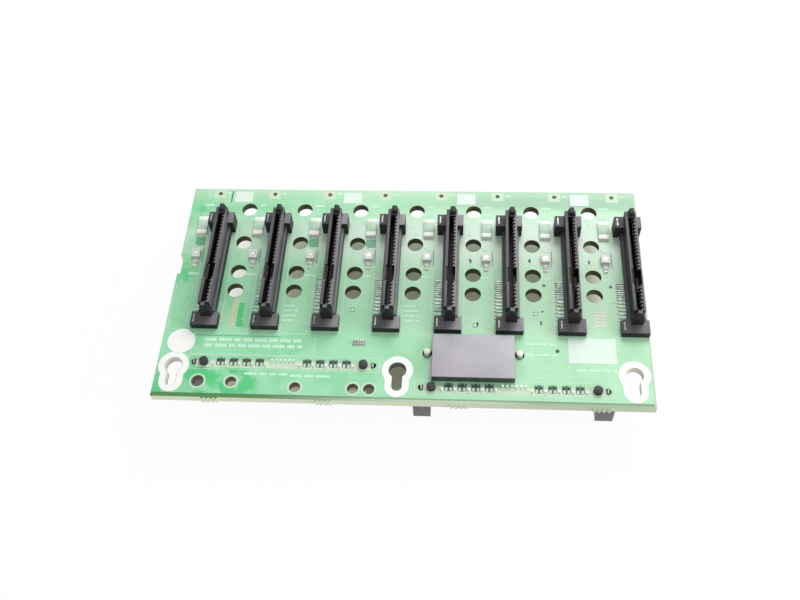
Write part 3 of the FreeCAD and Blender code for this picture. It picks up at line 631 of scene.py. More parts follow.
boardMask = boardSurface()
traceMask = maskSurface("traceMask", maskLook["copper"])
windowMask, pairMask, inkMask, vividMask = (
    maskSurface(name + "Mask", maskLook[name]) for name in ("window", "pair", "ink", "vivid"))
tints = {"socket": socketTint, "cable": cableTint, "array": arrayTint, "lightCup": lightTint}
moulded = {name: mouldSurface(name, tints.get(name)) for name in mouldLook}
patch = {name: patchSurface(name) for name in patchLook}
coverSheet, dotPaper, lensCasting = coverSurface(), paperSurface(), lensSurface()
capacitorMoulding = capacitorSurface()
tinPlate, clipSteel = metalSurface("tinPlate"), metalSurface("clipSteel", "steel")
solderSkin, shadedTailSolder = metalSurface("solderSkin", "solder"), metalSurface("shadedTailSolder", "dark")
contactPlate = metalSurface("contactPlate", "solder", gold=True)
cablePlate = metalSurface("cablePlate", "tin", gold=True, shadedBoxes=pairBoxes())
print("surfaces made:", len(bpy.data.materials))


# mesh helpers work in millimetres; a finished piece is scaled once
def arcOf(x, y, radius, start, sweep, count):
    turns = [start + sweep * i / (count - 1) for i in range(count)]
    return [(x + radius * math.cos(turn), y + radius * math.sin(turn)) for turn in turns]


def ringOf(x, y, radius, count=24):
    return arcOf(x, y, radius, 0.0, 2 * math.pi * (count - 1) / count, count)


def addPrism(bm, outline, low, high):
    bottom = [bm.verts.new((x, y, low)) for x, y in outline]
    top = [bm.verts.new((x, y, high)) for x, y in outline]
    bm.faces.new(bottom[::-1])
    bm.faces.new(top)
    for i in range(len(outline)):
        j = (i + 1) % len(outline)
        bm.faces.new((bottom[i], bottom[j], top[j], top[i]))


def addPlate(bm, x0, y0, x1, y1, low, high, corner=0.0):
    outline = [(x0, y0), (x1, y0), (x1, y1), (x0, y1)]
    if corner > 0:
        outline = []
        for x, y, start in ((x1 - corner, y0 + corner, -0.5), (x1 - corner, y1 - corner, 0.0),
                            (x0 + corner, y1 - corner, 0.5), (x0 + corner, y0 + corner, 1.0)):
            outline += arcOf(x, y, corner, start * math.pi, 0.5 * math.pi, 5)
    addPrism(bm, outline, low, high)


# a plate given by its middle and size
def addPad(bm, x, y, width, length, low, high, corner=0.12):
    addPlate(bm, x - width / 2, y - length / 2, x + width / 2, y + length / 2, low, high, corner)


# a closed band between two outlines of as many points
def addBand(bm, inner, outer, low, high):
    loops = [[bm.verts.new((x, y, z)) for x, y in line]
             for line, z in ((inner, low), (outer, low), (outer, high), (inner, high))]
    for i in range(len(inner)):
        j = (i + 1) % len(inner)
        for first, second in zip(loops, loops[1:] + loops[:1]):
            bm.faces.new((first[i], first[j], second[j], second[i]))


def addRing(bm, x, y, inner, outer, count, low, high):
    addBand(bm, ringOf(x, y, inner, count), ringOf(x, y, outer, count), low, high)


# a drawn line with mitred corners
def addStroke(bm, path, width, low, high, closed=False):
    left, right = [], []
    count = len(path)
    for i in range(count):
        here = Vector(path[i])
        ways = []
        if i > 0 or closed:
            ways.append((here - Vector(path[i - 1])).normalized())
        if i < count - 1 or closed:
            ways.append((Vector(path[(i + 1) % count]) - here).normalized())
        way = (ways[0] + ways[-1]).normalized()
        normal = Vector((-way.y, way.x))
        reach = width / 2 / max(0.35, normal.dot(Vector((-ways[0].y, ways[0].x))))
        left.append(tuple(here + normal * reach))
        right.append(tuple(here - normal * reach))
    if closed:
        addBand(bm, left, right, low, high)
    else:
        addPrism(bm, right + left[::-1], low, high)


def addFrame(bm, x0, y0, x1, y1, width, low, high):
    addStroke(bm, [(x0, y0), (x1, y0), (x1, y1), (x0, y1)], width, low, high, closed=True)


# a turned form on an upright axis, from (radius, height) pairs; it closes where the radius is 0
def addTurned(bm, x, y, profile, count=14, squash=1.0):
    rows = []
    for radius, z in profile:
        ring = [(x, y)] if radius == 0 else ringOf(x, y, radius, count)
        rows.append([bm.verts.new((px, y + (py - y) * squash, z)) for px, py in ring])
    for first, second in zip(rows, rows[1:]):
        for i in range(count):
            j = (i + 1) % count
            corners = (first[i % len(first)], first[j % len(first)],
                       second[j % len(second)], second[i % len(second)])
            bm.faces.new(list(dict.fromkeys(corners)))


def newPiece(name, bm, material, smooth=None):
    bmesh.ops.scale(bm, verts=bm.verts, vec=(0.001, 0.001, 0.001))
    bmesh.ops.recalc_face_normals(bm, faces=bm.faces)
    mesh = bpy.data.meshes.new(name)
    bm.to_mesh(mesh)
    bm.free()
    piece = bpy.data.objects.new(name, mesh)
    scene.collection.objects.link(piece)
    mesh.materials.append(material)
    if smooth is not None:
        mesh.shade_smooth()
        mesh.set_sharp_from_angle(angle=math.radians(smooth))
    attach(piece, "root")
    return piece


# gives a CAD node its finish
def dress(node, material):
    mesh = frame["nodes"][node].data
    mesh.materials.clear()
    mesh.materials.append(material)


edgeLook = {"weld": 0.002, "flat": 1, "sharp": 35, "smooth": 40, "segments": 2}  # mm, and angles in degrees


# a copy of a CAD node with its moulded edges broken, which stands for the node
def softened(node, material, slotName, edge):
    first, *others = node.split("_")
    name = first + "".join(word.capitalize() for word in others)
    flat, sharp = math.radians(edgeLook["flat"]), math.radians(edgeLook["sharp"])
    bm = bmesh.new()
    bm.from_mesh(frame["nodes"][node].data)
    bmesh.ops.scale(bm, verts=bm.verts, vec=(1000, 1000, 1000))
    bmesh.ops.remove_doubles(bm, verts=bm.verts, dist=edgeLook["weld"])
    bmesh.ops.dissolve_limit(bm, angle_limit=flat, verts=bm.verts, edges=bm.edges)
    corners = [e for e in bm.edges if e.is_manifold and e.calc_face_angle() > sharp]
    bmesh.ops.bevel(bm, geom=corners, offset=edge, segments=edgeLook["segments"], profile=0.5,
                    affect="EDGES", clamp_overlap=True)
    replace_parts(newPiece(name, bm, material, smooth=edgeLook["smooth"]), node)


# node, finish, slot, and how far its edges are broken, mm
softEdged = (
    ("tail_cover", coverSheet, "cover_grey", 0.15),
    ("power_header", moulded["header"], "header_cream", 0.15),
    ("cable_socket_left", moulded["cable"], "cable_black", 0.12),
    ("cable_socket_right", moulded["cable"], "cable_black", 0.12),
    ("controller_chip", moulded["chip"], "chip_black", 0.08),
    ("resistor_array", moulded["array"], "resistor_body", 0.06),
    ("supply_capacitors", capacitorMoulding, "capacitor_body", 0.15),
    ("bay_fuses", moulded["fuse"], "fuse_body", 0.06),
    ("fuse_ends", moulded["chipEnd"], "tin_plate", 0.08),
    ("bay_resistors", moulded["resistor"], "resistor_body", 0.04),
    ("resistor_ends", moulded["chipEnd"], "tin_plate", 0.05),
    ("capacitor_ends", tinPlate, "tin_plate", 0.08),
)
for bay in bays:
    softened(f"drive_socket_{bay}", moulded["socket"], "socket_plastic", 0.07)
    dress(f"socket_contacts_{bay}", contactPlate)
    dress(f"socket_clips_{bay}", clipSteel)
    dress(f"status_light_{bay}", moulded["lightCup"])
for row in softEdged:
    softened(*row)
for node in ("light_terminals", "power_pins", "controller_leads"):
    dress(node, tinPlate)
for side in sides:
    dress(f"cable_clips_{side}", clipSteel)
    dress(f"cable_contacts_{side}", cablePlate)
dress("circuit_board", boardMask)
dress("light_lenses", lensCasting)
dress("paper_dot", dotPaper)
print("CAD nodes dressed")


sink = 0.02  # how far anything laid on the board is let into it, mm


# heights of a layer laid on the drive face, or on the rear face
def onFace(thickness, rear=False):
    return (rearZ - thickness, rearZ + sink) if rear else (faceZ - sink, faceZ + thickness)


def onBoth(thickness):
    return onFace(thickness), onFace(thickness, rear=True)


keyholeLook = {
    "head": 2.5, "neck": 1.45, "travel": 5.2, "gap": 0.12, "pad": 2.0,
    "neckPoints": 17, "headPoints": 33,
}


# outline of a keyhole grown by a margin: the neck's round end, then the head's arc
def keyholeOutline(x, margin):
    head, neck = keyholeLook["head"] + margin, keyholeLook["neck"] + margin
    meet = -math.asin(math.sqrt(head ** 2 - neck ** 2) / head)
    outline = arcOf(x, -keyholeLook["travel"], neck, math.pi, math.pi, keyholeLook["neckPoints"])
    return outline + arcOf(x, 0.0, head, meet, math.pi - 2 * meet, keyholeLook["headPoints"])


padLook = {
    "thickness": 0.05, "thin": 0.03,
    # width, length and distance from the middle of the part, mm
    "fuse": (3.5, 2.3, 2.55), "light": (2.1, 1.1, 1.75), "resistor": (1.5, 0.8, 0.95),
    "capacitor": (3.2, 2.2, 3.5), "array": (0.5, 0.7, 0.95), "arrayCorner": 0.08,
    "land": (0.72, 1.15), "landShift": -0.42,
}
chipLook = {"leads": 10, "pitch": 0.6, "reach": 4.35, "pad": (0.34, 1.0), "corner": 0.06}
fuseAt, resistorAt = (-6.75, 50.7), (-6.9, 36.2)  # from each socket's middle, and along the board
chipAt = middleOf("controller_chip")
capacitorY = middleOf("supply_capacitors").y


# tinned copper: the keyhole pads of both faces and the lands under every soldered part
def makePads():
    bm = bmesh.new()
    front, rear = onBoth(padLook["thickness"])
    for face in (front, rear):
        for x in keyholeX:
            addBand(bm, keyholeOutline(x, keyholeLook["gap"]), keyholeOutline(x, keyholeLook["pad"]), *face)
    for bay in bays:
        middle, light = socketX[bay], lightAt[bay]
        for part, x, y, face in (("fuse", middle + fuseAt[0], fuseAt[1], front),
                                 ("light", light.x, light.y, front),
                                 ("resistor", middle + resistorAt[0], resistorAt[1], front),
                                 ("capacitor", middle, capacitorY, rear)):
            width, length, reach = padLook[part]
            for step in (-reach, reach):
                addPad(bm, x, y + step, width, length, *face)
    array, terminals = middleOf("resistor_array"), mouldLook["array"]["terminals"]
    width, length, reach = padLook["array"]
    for i in range(terminals):
        x = array.x + mouldLook["array"]["pitch"] * (i - (terminals - 1) / 2)
        for step in (-reach, reach):
            addPad(bm, x, array.y + step, width, length, *front, padLook["arrayCorner"])
    width, length = chipLook["pad"]
    thin = onFace(padLook["thin"], rear=True)
    for i in range(chipLook["leads"]):
        along = chipLook["pitch"] * (i - (chipLook["leads"] - 1) / 2)
        for out in (-chipLook["reach"], chipLook["reach"]):
            addPad(bm, chipAt.x + along, chipAt.y + out, width, length, *thin, chipLook["corner"])
            addPad(bm, chipAt.x + out, chipAt.y + along, length, width, *thin, chipLook["corner"])
    newPiece("tinnedPads", bm, patch["padTin"])


plainLook = {
    "holes": ((-57.2, -5.0, 1.8), (-47.5, -5.0, 1.6),
              (-28.9, -6.35, 1.6), (-12.4, -6.35, 1.6), (-7.8, -6.35, 1.6)),
    "gap": 0.1, "ring": 0.5, "points": 32, "tailPoints": 14,
}
socketLook = {  # the soldered feet along the left of each socket
    "footX": -3.9, "feet": 7,
    "signal": {"first": 17.9, "pitch": 1.27, "pad": (1.3, 0.55), "bead": 1.0},
    "fine": {"first": 26.3, "pitch": 0.8, "pad": (1.3, 0.36), "bead": 0.65},
}


# places of one socket's feet, each with the row that it belongs to
def socketFeet(bay):
    x = socketX[bay] + socketLook["footX"]
    rows = socketLook["signal"], socketLook["fine"]
    return [(x, row["first"] + row["pitch"] * i, row) for i in range(socketLook["feet"]) for row in rows]


# duller tinned copper: rings of the plain holes, cable tails and their lands, and the socket feet
def makeRings():
    bm = bmesh.new()
    faces = onBoth(padLook["thickness"])
    for x, y, radius in plainLook["holes"]:
        inner = radius + plainLook["gap"]
        for face in faces:
            addRing(bm, x, y, inner, inner + plainLook["ring"], plainLook["points"], *face)
    tailHole = cableLook["tail"] + cableLook["tailGap"]
    for side in sides:
        tails = cableTails(side)
        for x, y in tails["otherTails"]:
            addRing(bm, x, y, tailHole, cableLook["pad"], plainLook["tailPoints"], *faces[0])
        y = cableLook[side].y + padLook["landShift"]
        for pair in tails["pairs"]:
            for step in (-1, 1):
                x = pair + step * cableLook["pairHalf"]
                addPad(bm, x, y, *padLook["land"], *onFace(padLook["thin"]))
    for bay in bays:
        for x, y, row in socketFeet(bay):
            addPad(bm, x, y, *row["pad"], *faces[0])
    newPiece("dullPads", bm, patch["ringTin"])


jointLook = {  # turned outlines, as radius and height above the board, mm
    "cone": ((0, 0.03), (0.36, 0.03), (0.288, 0.12), (0.26, 0.30), (0.245, 0.50), (0, 0.50)),
    "bead": ((0, 0.03), (0.45, 0.03), (0.3825, 0.162), (0.225, 0.2346), (0, 0.25)),
    "beadLength": 0.45, "beadWidth": 0.24, "beadShift": -0.1, "beadPoints": 12, "smooth": 50,
}


# solder: a hollow-sided cone round each cable tail, painted dark round the signal pairs as painted shade, and
# a low bead at the end of each socket foot
def makeJoints():
    cone = [(radius, faceZ + height) for radius, height in jointLook["cone"]]
    bead = [(radius, faceZ + height) for radius, height in jointLook["bead"]]
    for name, skin, group in (("pairJoints", shadedTailSolder, "pairTails"),
                              ("tailJoints", tinPlate, "otherTails")):
        bm = bmesh.new()
        for side in sides:
            for x, y in cableTails(side)[group]:
                addTurned(bm, x, y, cone)
        newPiece(name, bm, skin, smooth=jointLook["smooth"])
    bm = bmesh.new()
    squash = jointLook["beadWidth"] / jointLook["beadLength"]
    for bay in bays:
        for x, y, row in socketFeet(bay):
            addTurned(bm, x + jointLook["beadShift"], y, bead, jointLook["beadPoints"], squash * row["bead"])
    newPiece("footBeads", bm, solderSkin, smooth=jointLook["smooth"])


dotLook = {"ink": (45.5, 7.4, 0.58), "back": (-3.3, 64.4, 0.68), "thickness": 0.05}
windowLook = {
    "chalkRise": 0.008, "rise": 0.012, "pairRise": 0.018, "markRise": 0.045,  # heights above the board, mm
    "corner": 0.4, "sheetCorner": 0.2, "pairCorner": 0.5, "belowCorner": 0.3, "markCorner": 0.08,
    "strip": (25.5, -1.75, 0.75), "backPad": (-3.3, 64.2, 3.8, 3.4), "sheetEdge": (8.5, -1.6, 9.5, 3.9),
    "pair": (2.5, 2.65), "pairShift": 0.19,
    "below": (-6.6, 44.8, 3.3, 3.2), "belowBays": (1, 3, 4), "seam": (-47.65, 10.3, 25.5, 0.3),
    "squares": ((-14.6, 20.2), (39.7, 20.0), (21.9, 15.6)), "square": 0.62, "squareLine": 0.2,
    "vivid": (-48.9, 13.4, -46.6, 22.0),
    "dark": ((42.3, 30.1, 0.9, 0.9), (62.0, 30.0, 0.9, 0.9),  # each a middle and a size
             (20.3, 38.7, 0.6, 1.3), (38.2, 39.1, 0.6, 1.3), (56.2, 38.9, 0.6, 1.3),
             (-58.9, 1.3, 0.5, 1.2), (41.1, 16.8, 0.5, 1.4), (22.6, 16.0, 0.5, 1.4), (-57.4, 63.2, 0.3, 4.6)),
}


# where the copper or the mask is left out: chalky strips along the cable tails, dark windows round each
# signal pair and below some fuses, and small dark gaps
def makeWindows():
    look = windowLook
    bm = bmesh.new()
    low, high = onFace(look["chalkRise"])
    half, under, over = look["strip"]
    for side in sides:
        x, y = cableLook[side]
        addPlate(bm, x - half, y + under, x + half, y + over, low, high, look["corner"])
    shift, y, *size = look["backPad"]
    for bay in bays:
        addPad(bm, socketX[bay] + shift, y, *size, low, high, look["corner"])
    addPlate(bm, *look["sheetEdge"], low, high, look["sheetCorner"])
    newPiece("chalkStrips", bm, patch["chalkStrip"])
    bm = bmesh.new()
    for side in sides:
        y = cableLook[side].y + look["pairShift"]
        for pair in cableTails(side)["pairs"]:
            addPad(bm, pair, y, *look["pair"], *onFace(look["pairRise"]), look["pairCorner"])
    newPiece("pairWindows", bm, pairMask)
    bm = bmesh.new()
    low, high = onFace(look["rise"])
    shift, y, *size = look["below"]
    for bay in look["belowBays"]:
        addPad(bm, socketX[bay] + shift, y, *size, low, high, look["belowCorner"])
    addPad(bm, *look["seam"], low, high)
    half = look["square"]
    for x, y in look["squares"]:
        addFrame(bm, x - half, y - half, x + half, y + half, look["squareLine"], *onFace(look["markRise"]))
    newPiece("copperWindows", bm, windowMask)
    bm = bmesh.new()
    for mark in look["dark"]:
        addPad(bm, *mark, *onFace(look["markRise"]), look["markCorner"])
    addPrism(bm, ringOf(*dotLook["ink"]), *onFace(dotLook["thickness"]))
    newPiece("darkMarks", bm, inkMask)
    bm = bmesh.new()
    addPlate(bm, *look["vivid"], low, high, look["corner"])
    newPiece("vividWindows", bm, vividMask)


traceLook = {
    "width": 0.24, "rise": 0.035,
    "lanes": ((1, 5.3, 14.0), (4, 6.6, 15.2)),  # a pair's first foot, how far left it runs and where it stops
    "start": 4.4, "gap": 0.45, "turn": 0.5, "drop": 0.6, "dropStep": 0.3, "stopStep": 0.9,
    "links": (((-6.9, 34.9), (-6.9, 33.6), (-7.7, 32.8)), ((-6.9, 41.6), (-6.9, 42.4), (-8.0, 43.5))),
    "linkWidth": 0.3,
    "feed": ((-6.75, 54.2), (-6.75, 55.6)), "feedWidth": 2.6,
    "feedVias": ((-7.65, 56.2), (-6.75, 56.2), (-5.85, 56.2)),
    "fan": ((0.635, 1.1), (0.635, 1.7), (0.25, 2.1), (0.25, 2.6)), "fanWidth": 0.2,  # from a pair's middle
}


# copper traces under the mask: signal pairs from each socket to their vias, and short links
def makeTraces():
    look, signal = traceLook, socketLook["signal"]
    bm = bmesh.new()
    low, high = onFace(look["rise"])
    ends = []
    for bay in bays:
        middle = socketX[bay]
        for first, lane, stop in look["lanes"]:
            for i in range(2):
                y = signal["first"] + signal["pitch"] * (first + i)
                x = middle - lane - look["gap"] * i
                bend = (x, y - look["drop"] - look["dropStep"] * i)
                end = (x, stop + look["stopStep"] * i)
                path = [(middle - look["start"], y), (x + look["turn"], y), bend, end]
                addStroke(bm, path, look["width"], low, high)
                ends.append(end)
        for link in look["links"]:
            path = [(middle + x, y) for x, y in link]
            addStroke(bm, path, look["linkWidth"], low, high)
            ends.append(path[-1])
        addStroke(bm, [(middle + x, y) for x, y in look["feed"]], look["feedWidth"], low, high)
        ends += [(middle + x, y) for x, y in look["feedVias"]]
    for side in sides:
        y = cableLook[side].y
        for pair in cableTails(side)["pairs"]:
            for step in (-1, 1):
                path = [(pair + step * out, y + along) for out, along in look["fan"]]
                addStroke(bm, path, look["fanWidth"], low, high)
    newPiece("copperTraces", bm, traceMask)
    return ends


viaLook = {
    "inner": 0.14, "outer": 0.32, "rise": 0.045, "points": 10,
    "rowInset": 2.1, "rowStep": 5.2, "rowStart": 14.0, "rowShort": 20.0,  # the row along the back edge
    "loose": 110, "seed": 11, "margin": 3.0, "front": 12.0, "grid": 0.8,
    # what the loose vias keep clear of: the board's strips, then boxes from each socket's middle
    "clearStrips": ((-71, -11, 73, 12.0), (-71, 62.0, 73, 67), (-71, 10, -63.5, 29)),
    "clearBay": ((-9.0, 31.0, -4.9, 57.5), (-7.9, 12.8, -4.2, 27.0)),
    "clearSocket": (-5.0, 4.6), "socketMargin": 0.6,
    "ventX": (4.2, 10.2), "ventY": (26.5, 33.5, 44.7, 57.9), "ventHalf": 3.0,
}


# places the loose vias keep clear of, as boxes on the drive face
def keepClear():
    margin, half = viaLook["socketMargin"], viaLook["ventHalf"]
    left, right = viaLook["clearSocket"]
    ventLeft, ventRight = viaLook["ventX"]
    around = [(left, socketLow.y - margin, right, socketHigh.y + margin), *viaLook["clearBay"]]
    around += [(ventLeft, y - half, ventRight, y + half) for y in viaLook["ventY"]]
    boxes = [(middle + x0, y0, middle + x1, y1) for middle in socketX.values() for x0, y0, x1, y1 in around]
    return boxes + list(viaLook["clearStrips"])


# small plated vias: the ends of traces, a row along the back edge and a scatter in between
def makeVias(ends):
    look = viaLook
    bm = bmesh.new()
    rng = random.Random(look["seed"])
    spots = list(ends)
    for i in range(int((boardHigh.x - boardLow.x - look["rowShort"]) / look["rowStep"])):
        spots.append((boardLow.x + look["rowStart"] + look["rowStep"] * i, boardHigh.y - look["rowInset"]))
    clear = keepClear()
    margin, grid = look["margin"], look["grid"]
    while len(spots) < look["loose"] + len(ends):
        x = rng.uniform(boardLow.x + margin, boardHigh.x - margin)
        y = rng.uniform(look["front"], boardHigh.y - margin)
        if not any(x0 < x < x1 and y0 < y < y1 for x0, y0, x1, y1 in clear):
            spots.append((round(x / grid) * grid, round(y / grid) * grid))
    for x, y in spots:
        for face in onBoth(look["rise"]):
            addRing(bm, x, y, look["inner"], look["outer"], look["points"], *face)
    newPiece("viaRings", bm, patch["ringTin"])


printLook = {
    "thickness": 0.06, "line": 0.14, "seed": 5,
    "whiteBox": (48.6, 3.5, 62.1, 11.8), "whiteCorner": 0.15,
    "labelBox": (-60.7, 3.9, -24.7, 11.3), "sideBox": (-69.3, 12.4, -64.0, 28.0),
    "corner": ((34.3, 1.2), (48.4, 1.2), (48.4, -2.9)),
    "blocksX": (-53.5, -17.9, 18.6, 54.4), "block": (63.1, 5.8, 4.4), "padSize": (0.8, 0.8), "padCorner": 0.2,
    "cableHalf": (27.9, 2.3), "lightHalf": (1.9, 2.8),       # outlines round the cable tails and the lights
    "socketReach": (-5.0, 4.5), "socketMargin": 0.5, "edgeGap": 0.5,
    # rows of words: start, end, place along the board and height
    "rows": ((-57.3, -28.2, 8.9, 1.1), (-57.3, -28.2, 6.9, 1.1), (-44.0, -31.5, -2.3, 0.8),
             (-30.6, -18.0, -2.7, 0.8), (50.6, 62.0, 1.2, 0.8),
             (36.4, 45.4, 9.5, 0.8), (36.4, 45.2, 6.0, 0.8)),
    "glyphSpots": ((-33.0, 18.6), (3.2, 19.2)), "glyphRows": 4, "glyphPitch": 1.7, "glyphHalf": 2.2,
    "glyphHeight": 0.8,
    "lightWords": (-1.4, 1.8, -7.2, 0.9), "bayWords": ((-0.9, 0.4, 64.6, 0.8), (-7.6, -4.6, 59.6, 0.8)),
}
wordLook = {"length": (1.6, 3.8), "blocks": (0.45, 0.6, 0.8), "gap": 0.14, "space": 0.7, "least": 0.6}


# plain blocks in word-like groups, with no letters, along a row given from a place on the board
def addWords(bm, rng, row, face, x=0.0, y=0.0):
    start, end, along, height = row
    here, stop = x + start, x + end
    front, back = y + along - height / 2, y + along + height / 2
    while here < stop - wordLook["least"]:
        wordEnd = min(stop, here + rng.uniform(*wordLook["length"]))
        while here < wordEnd:
            block = min(rng.choice(wordLook["blocks"]), stop - here)
            addPlate(bm, here, front, here + block, back, *face)
            here += block + wordLook["gap"]
        here += wordLook["space"]


# white outlines, blocks and pads printed on the drive face
def makeOutlines():
    look, line = printLook, printLook["line"]
    bm = bmesh.new()
    low, high = onFace(look["thickness"])
    addPlate(bm, *look["whiteBox"], low, high, look["whiteCorner"])
    addFrame(bm, *look["labelBox"], line, low, high)
    addFrame(bm, *look["sideBox"], line, low, high)
    addStroke(bm, look["corner"], line, low, high)
    for x in look["blocksX"]:
        addPad(bm, x, *look["block"], low, high, look["padCorner"])
    for x, y in windowLook["squares"]:
        addPad(bm, x, y, *look["padSize"], low, high, look["padCorner"])
    framed = [(*cableLook[side], *look["cableHalf"]) for side in sides]
    framed += [(light.x, light.y, *look["lightHalf"]) for light in lightAt.values()]
    for x, y, across, along in framed:
        addFrame(bm, x - across, y - along, x + across, y + along, line, low, high)
    front, back = socketLow.y - look["socketMargin"], socketHigh.y + look["socketMargin"]
    for middle in socketX.values():
        left, full = [middle + reach for reach in look["socketReach"]]
        right = min(full, boardHigh.x - look["edgeGap"])
        path = [(right, front), (left, front), (left, back), (right, back)]
        addStroke(bm, path, line, low, high, closed=right == full)  # open where the board ends
    newPiece("screenPrint", bm, patch["screenInk"])


# rows of plain blocks in place of the words on the drive face
def makeWords():
    look = printLook
    bm = bmesh.new()
    rng = random.Random(look["seed"])
    face = onFace(look["thickness"])
    for row in look["rows"]:
        addWords(bm, rng, row, face)
    for x, y in look["glyphSpots"]:
        for i in range(look["glyphRows"]):
            along = look["glyphPitch"] * (i - (look["glyphRows"] - 1) / 2)
            addWords(bm, rng, (-look["glyphHalf"], look["glyphHalf"], along, look["glyphHeight"]), face, x, y)
    for bay in bays:
        light = lightAt[bay]
        addWords(bm, rng, look["lightWords"], face, light.x, light.y)
        for row in look["bayWords"]:
            addWords(bm, rng, row, face, socketX[bay])
    newPiece("screenWords", bm, patch["wordInk"])


stripLook = {"box": (-50.9, 13.2, -49.2, 23.6), "pad": (-53.3, 17.6, 1.0, 2.2), "rise": 0.02, "corner": 0.2}
pinkLook = {
    "x": 58.2, "first": 16.3, "pitch": 1.15, "rows": 5, "size": (3.4, 0.75),
    "rise": 0.03, "corner": 0.1,
}


# a strip of bare laminate beside the first socket, olive dots along the back and a block of pinkish bars
def makeMarks():
    bm = bmesh.new()
    low, high = onFace(stripLook["rise"])
    addPlate(bm, *stripLook["box"], low, high, stripLook["corner"])
    addPad(bm, *stripLook["pad"], low, high)
    newPiece("bareStrips", bm, patch["bareStrip"])
    bm = bmesh.new()
    shift, y, radius = dotLook["back"]
    for bay in bays:
        addPrism(bm, ringOf(socketX[bay] + shift, y, radius), *onFace(dotLook["thickness"]))
    newPiece("oliveDots", bm, patch["oliveInk"])
    bm = bmesh.new()
    for row in range(pinkLook["rows"]):
        y = pinkLook["first"] + pinkLook["pitch"] * row
        addPad(bm, pinkLook["x"], y, *pinkLook["size"], *onFace(pinkLook["rise"]), pinkLook["corner"])
    newPiece("pinkBars", bm, patch["pinkInk"])


rearLook = {
    "lanes": (36.7, 0.5), "laneOrder": (0, 1, 2, 3, 7, 6, 5, 4), "laneWidth": 0.2, "laneTurn": 0.5,
    "laneStart": 4.9, "laneEnd": -4.7,           # from the controller's middle, and from each socket's
    "rail": 12.9, "railWidth": 3.4, "railReach": 1.1, "feed": (1.4, 5.0), "feedWidth": 2.2,
    "line": 0.16, "seed": 9, "margin": 0.7, "frontGap": 1.0,
    "capacitorHalf": (2.8, 5.1), "bar": (0.0, 5.85, 4.0, 0.5), "barWords": (-1.9, 2.0, 7.2, 0.8),
    "chipHalf": 5.3, "chipDot": (-6.1, 4.6, 0.4), "chipWords": (-3.0, 3.4, -6.6, 0.9),
    "rows": ((-58.0, -44.0, 7.2, 1.0), (-24.0, -12.0, 7.2, 1.0), (38.5, 47.0, 7.6, 1.0),
             (-60.0, -36.0, 61.8, 1.0), (20.0, 44.0, 61.8, 1.0)),
}


# copper of the rear face under its mask: a lane from the controller to every bay, and the supply rail
def makeRearTraces():
    look = rearLook
    bm = bmesh.new()
    low, high = onFace(traceLook["rise"], rear=True)
    first, step = look["lanes"]
    rail, turn = look["rail"], look["laneTurn"]
    ends = []
    for i, bay in enumerate(bays):
        x = chipAt.x + chipLook["pitch"] * (i - (len(bays) - 1) / 2)
        lane = first + step * look["laneOrder"][i]
        end = (socketX[bay] + look["laneEnd"], lane)
        turned = x + turn if end[0] > x else x - turn
        path = [(x, chipAt.y + look["laneStart"]), (x, lane - turn), (turned, lane), end]
        addStroke(bm, path, look["laneWidth"], low, high)
        ends.append(end)
        path = [(socketX[bay], rail + look["feed"][0]), (socketX[bay], capacitorY - look["feed"][1])]
        addStroke(bm, path, look["feedWidth"], low, high)
    path = [(socketX[1] - look["railReach"], rail), (socketX[8] + look["railReach"], rail)]
    addStroke(bm, path, look["railWidth"], low, high)
    newPiece("rearCopper", bm, traceMask)
    return ends


# white print of the rear face: part outlines, polarity bars and plain bars in place of words
def makeRearPrint():
    look, line = rearLook, rearLook["line"]
    bm = bmesh.new()
    rng = random.Random(look["seed"])
    face = onFace(printLook["thickness"], rear=True)
    across, along = look["capacitorHalf"]
    barX, barY, *barSize = look["bar"]
    for x in socketX.values():
        right = min(x + across, boardHigh.x - printLook["edgeGap"])
        addFrame(bm, x - across, capacitorY - along, right, capacitorY + along, line, *face)
        addPad(bm, x + barX, capacitorY + barY, *barSize, *face, 0.0)
        addWords(bm, rng, look["barWords"], face, x, capacitorY)
    half = look["chipHalf"]
    addFrame(bm, chipAt.x - half, chipAt.y - half, chipAt.x + half, chipAt.y + half, line, *face)
    dotX, dotY, radius = look["chipDot"]
    addPrism(bm, ringOf(chipAt.x + dotX, chipAt.y + dotY, radius), *face)
    addWords(bm, rng, look["chipWords"], face, chipAt.x, chipAt.y)
    for node in ("power_header", "cable_socket_left", "cable_socket_right"):
        boxLow, boxHigh = boxMm(node)
        left, right, back = boxLow.x - look["margin"], boxHigh.x + look["margin"], boxHigh.y + look["margin"]
        front = max(boxLow.y - look["margin"], boardLow.y + look["frontGap"])
        path = [(left, front), (left, back), (right, back), (right, front)]
        addStroke(bm, path, line, *face, closed=boxLow.y >= front)  # open where the part passes the edge
    for row in look["rows"]:
        addWords(bm, rng, row, face)
    newPiece("rearPrint", bm, patch["screenInk"])


makePads()
makeRings()
makeJoints()
makeWindows()
makeVias(makeTraces() + makeRearTraces())
makeOutlines()
makeWords()
makeMarks()
makeRearPrint()
print("both faces detailed")


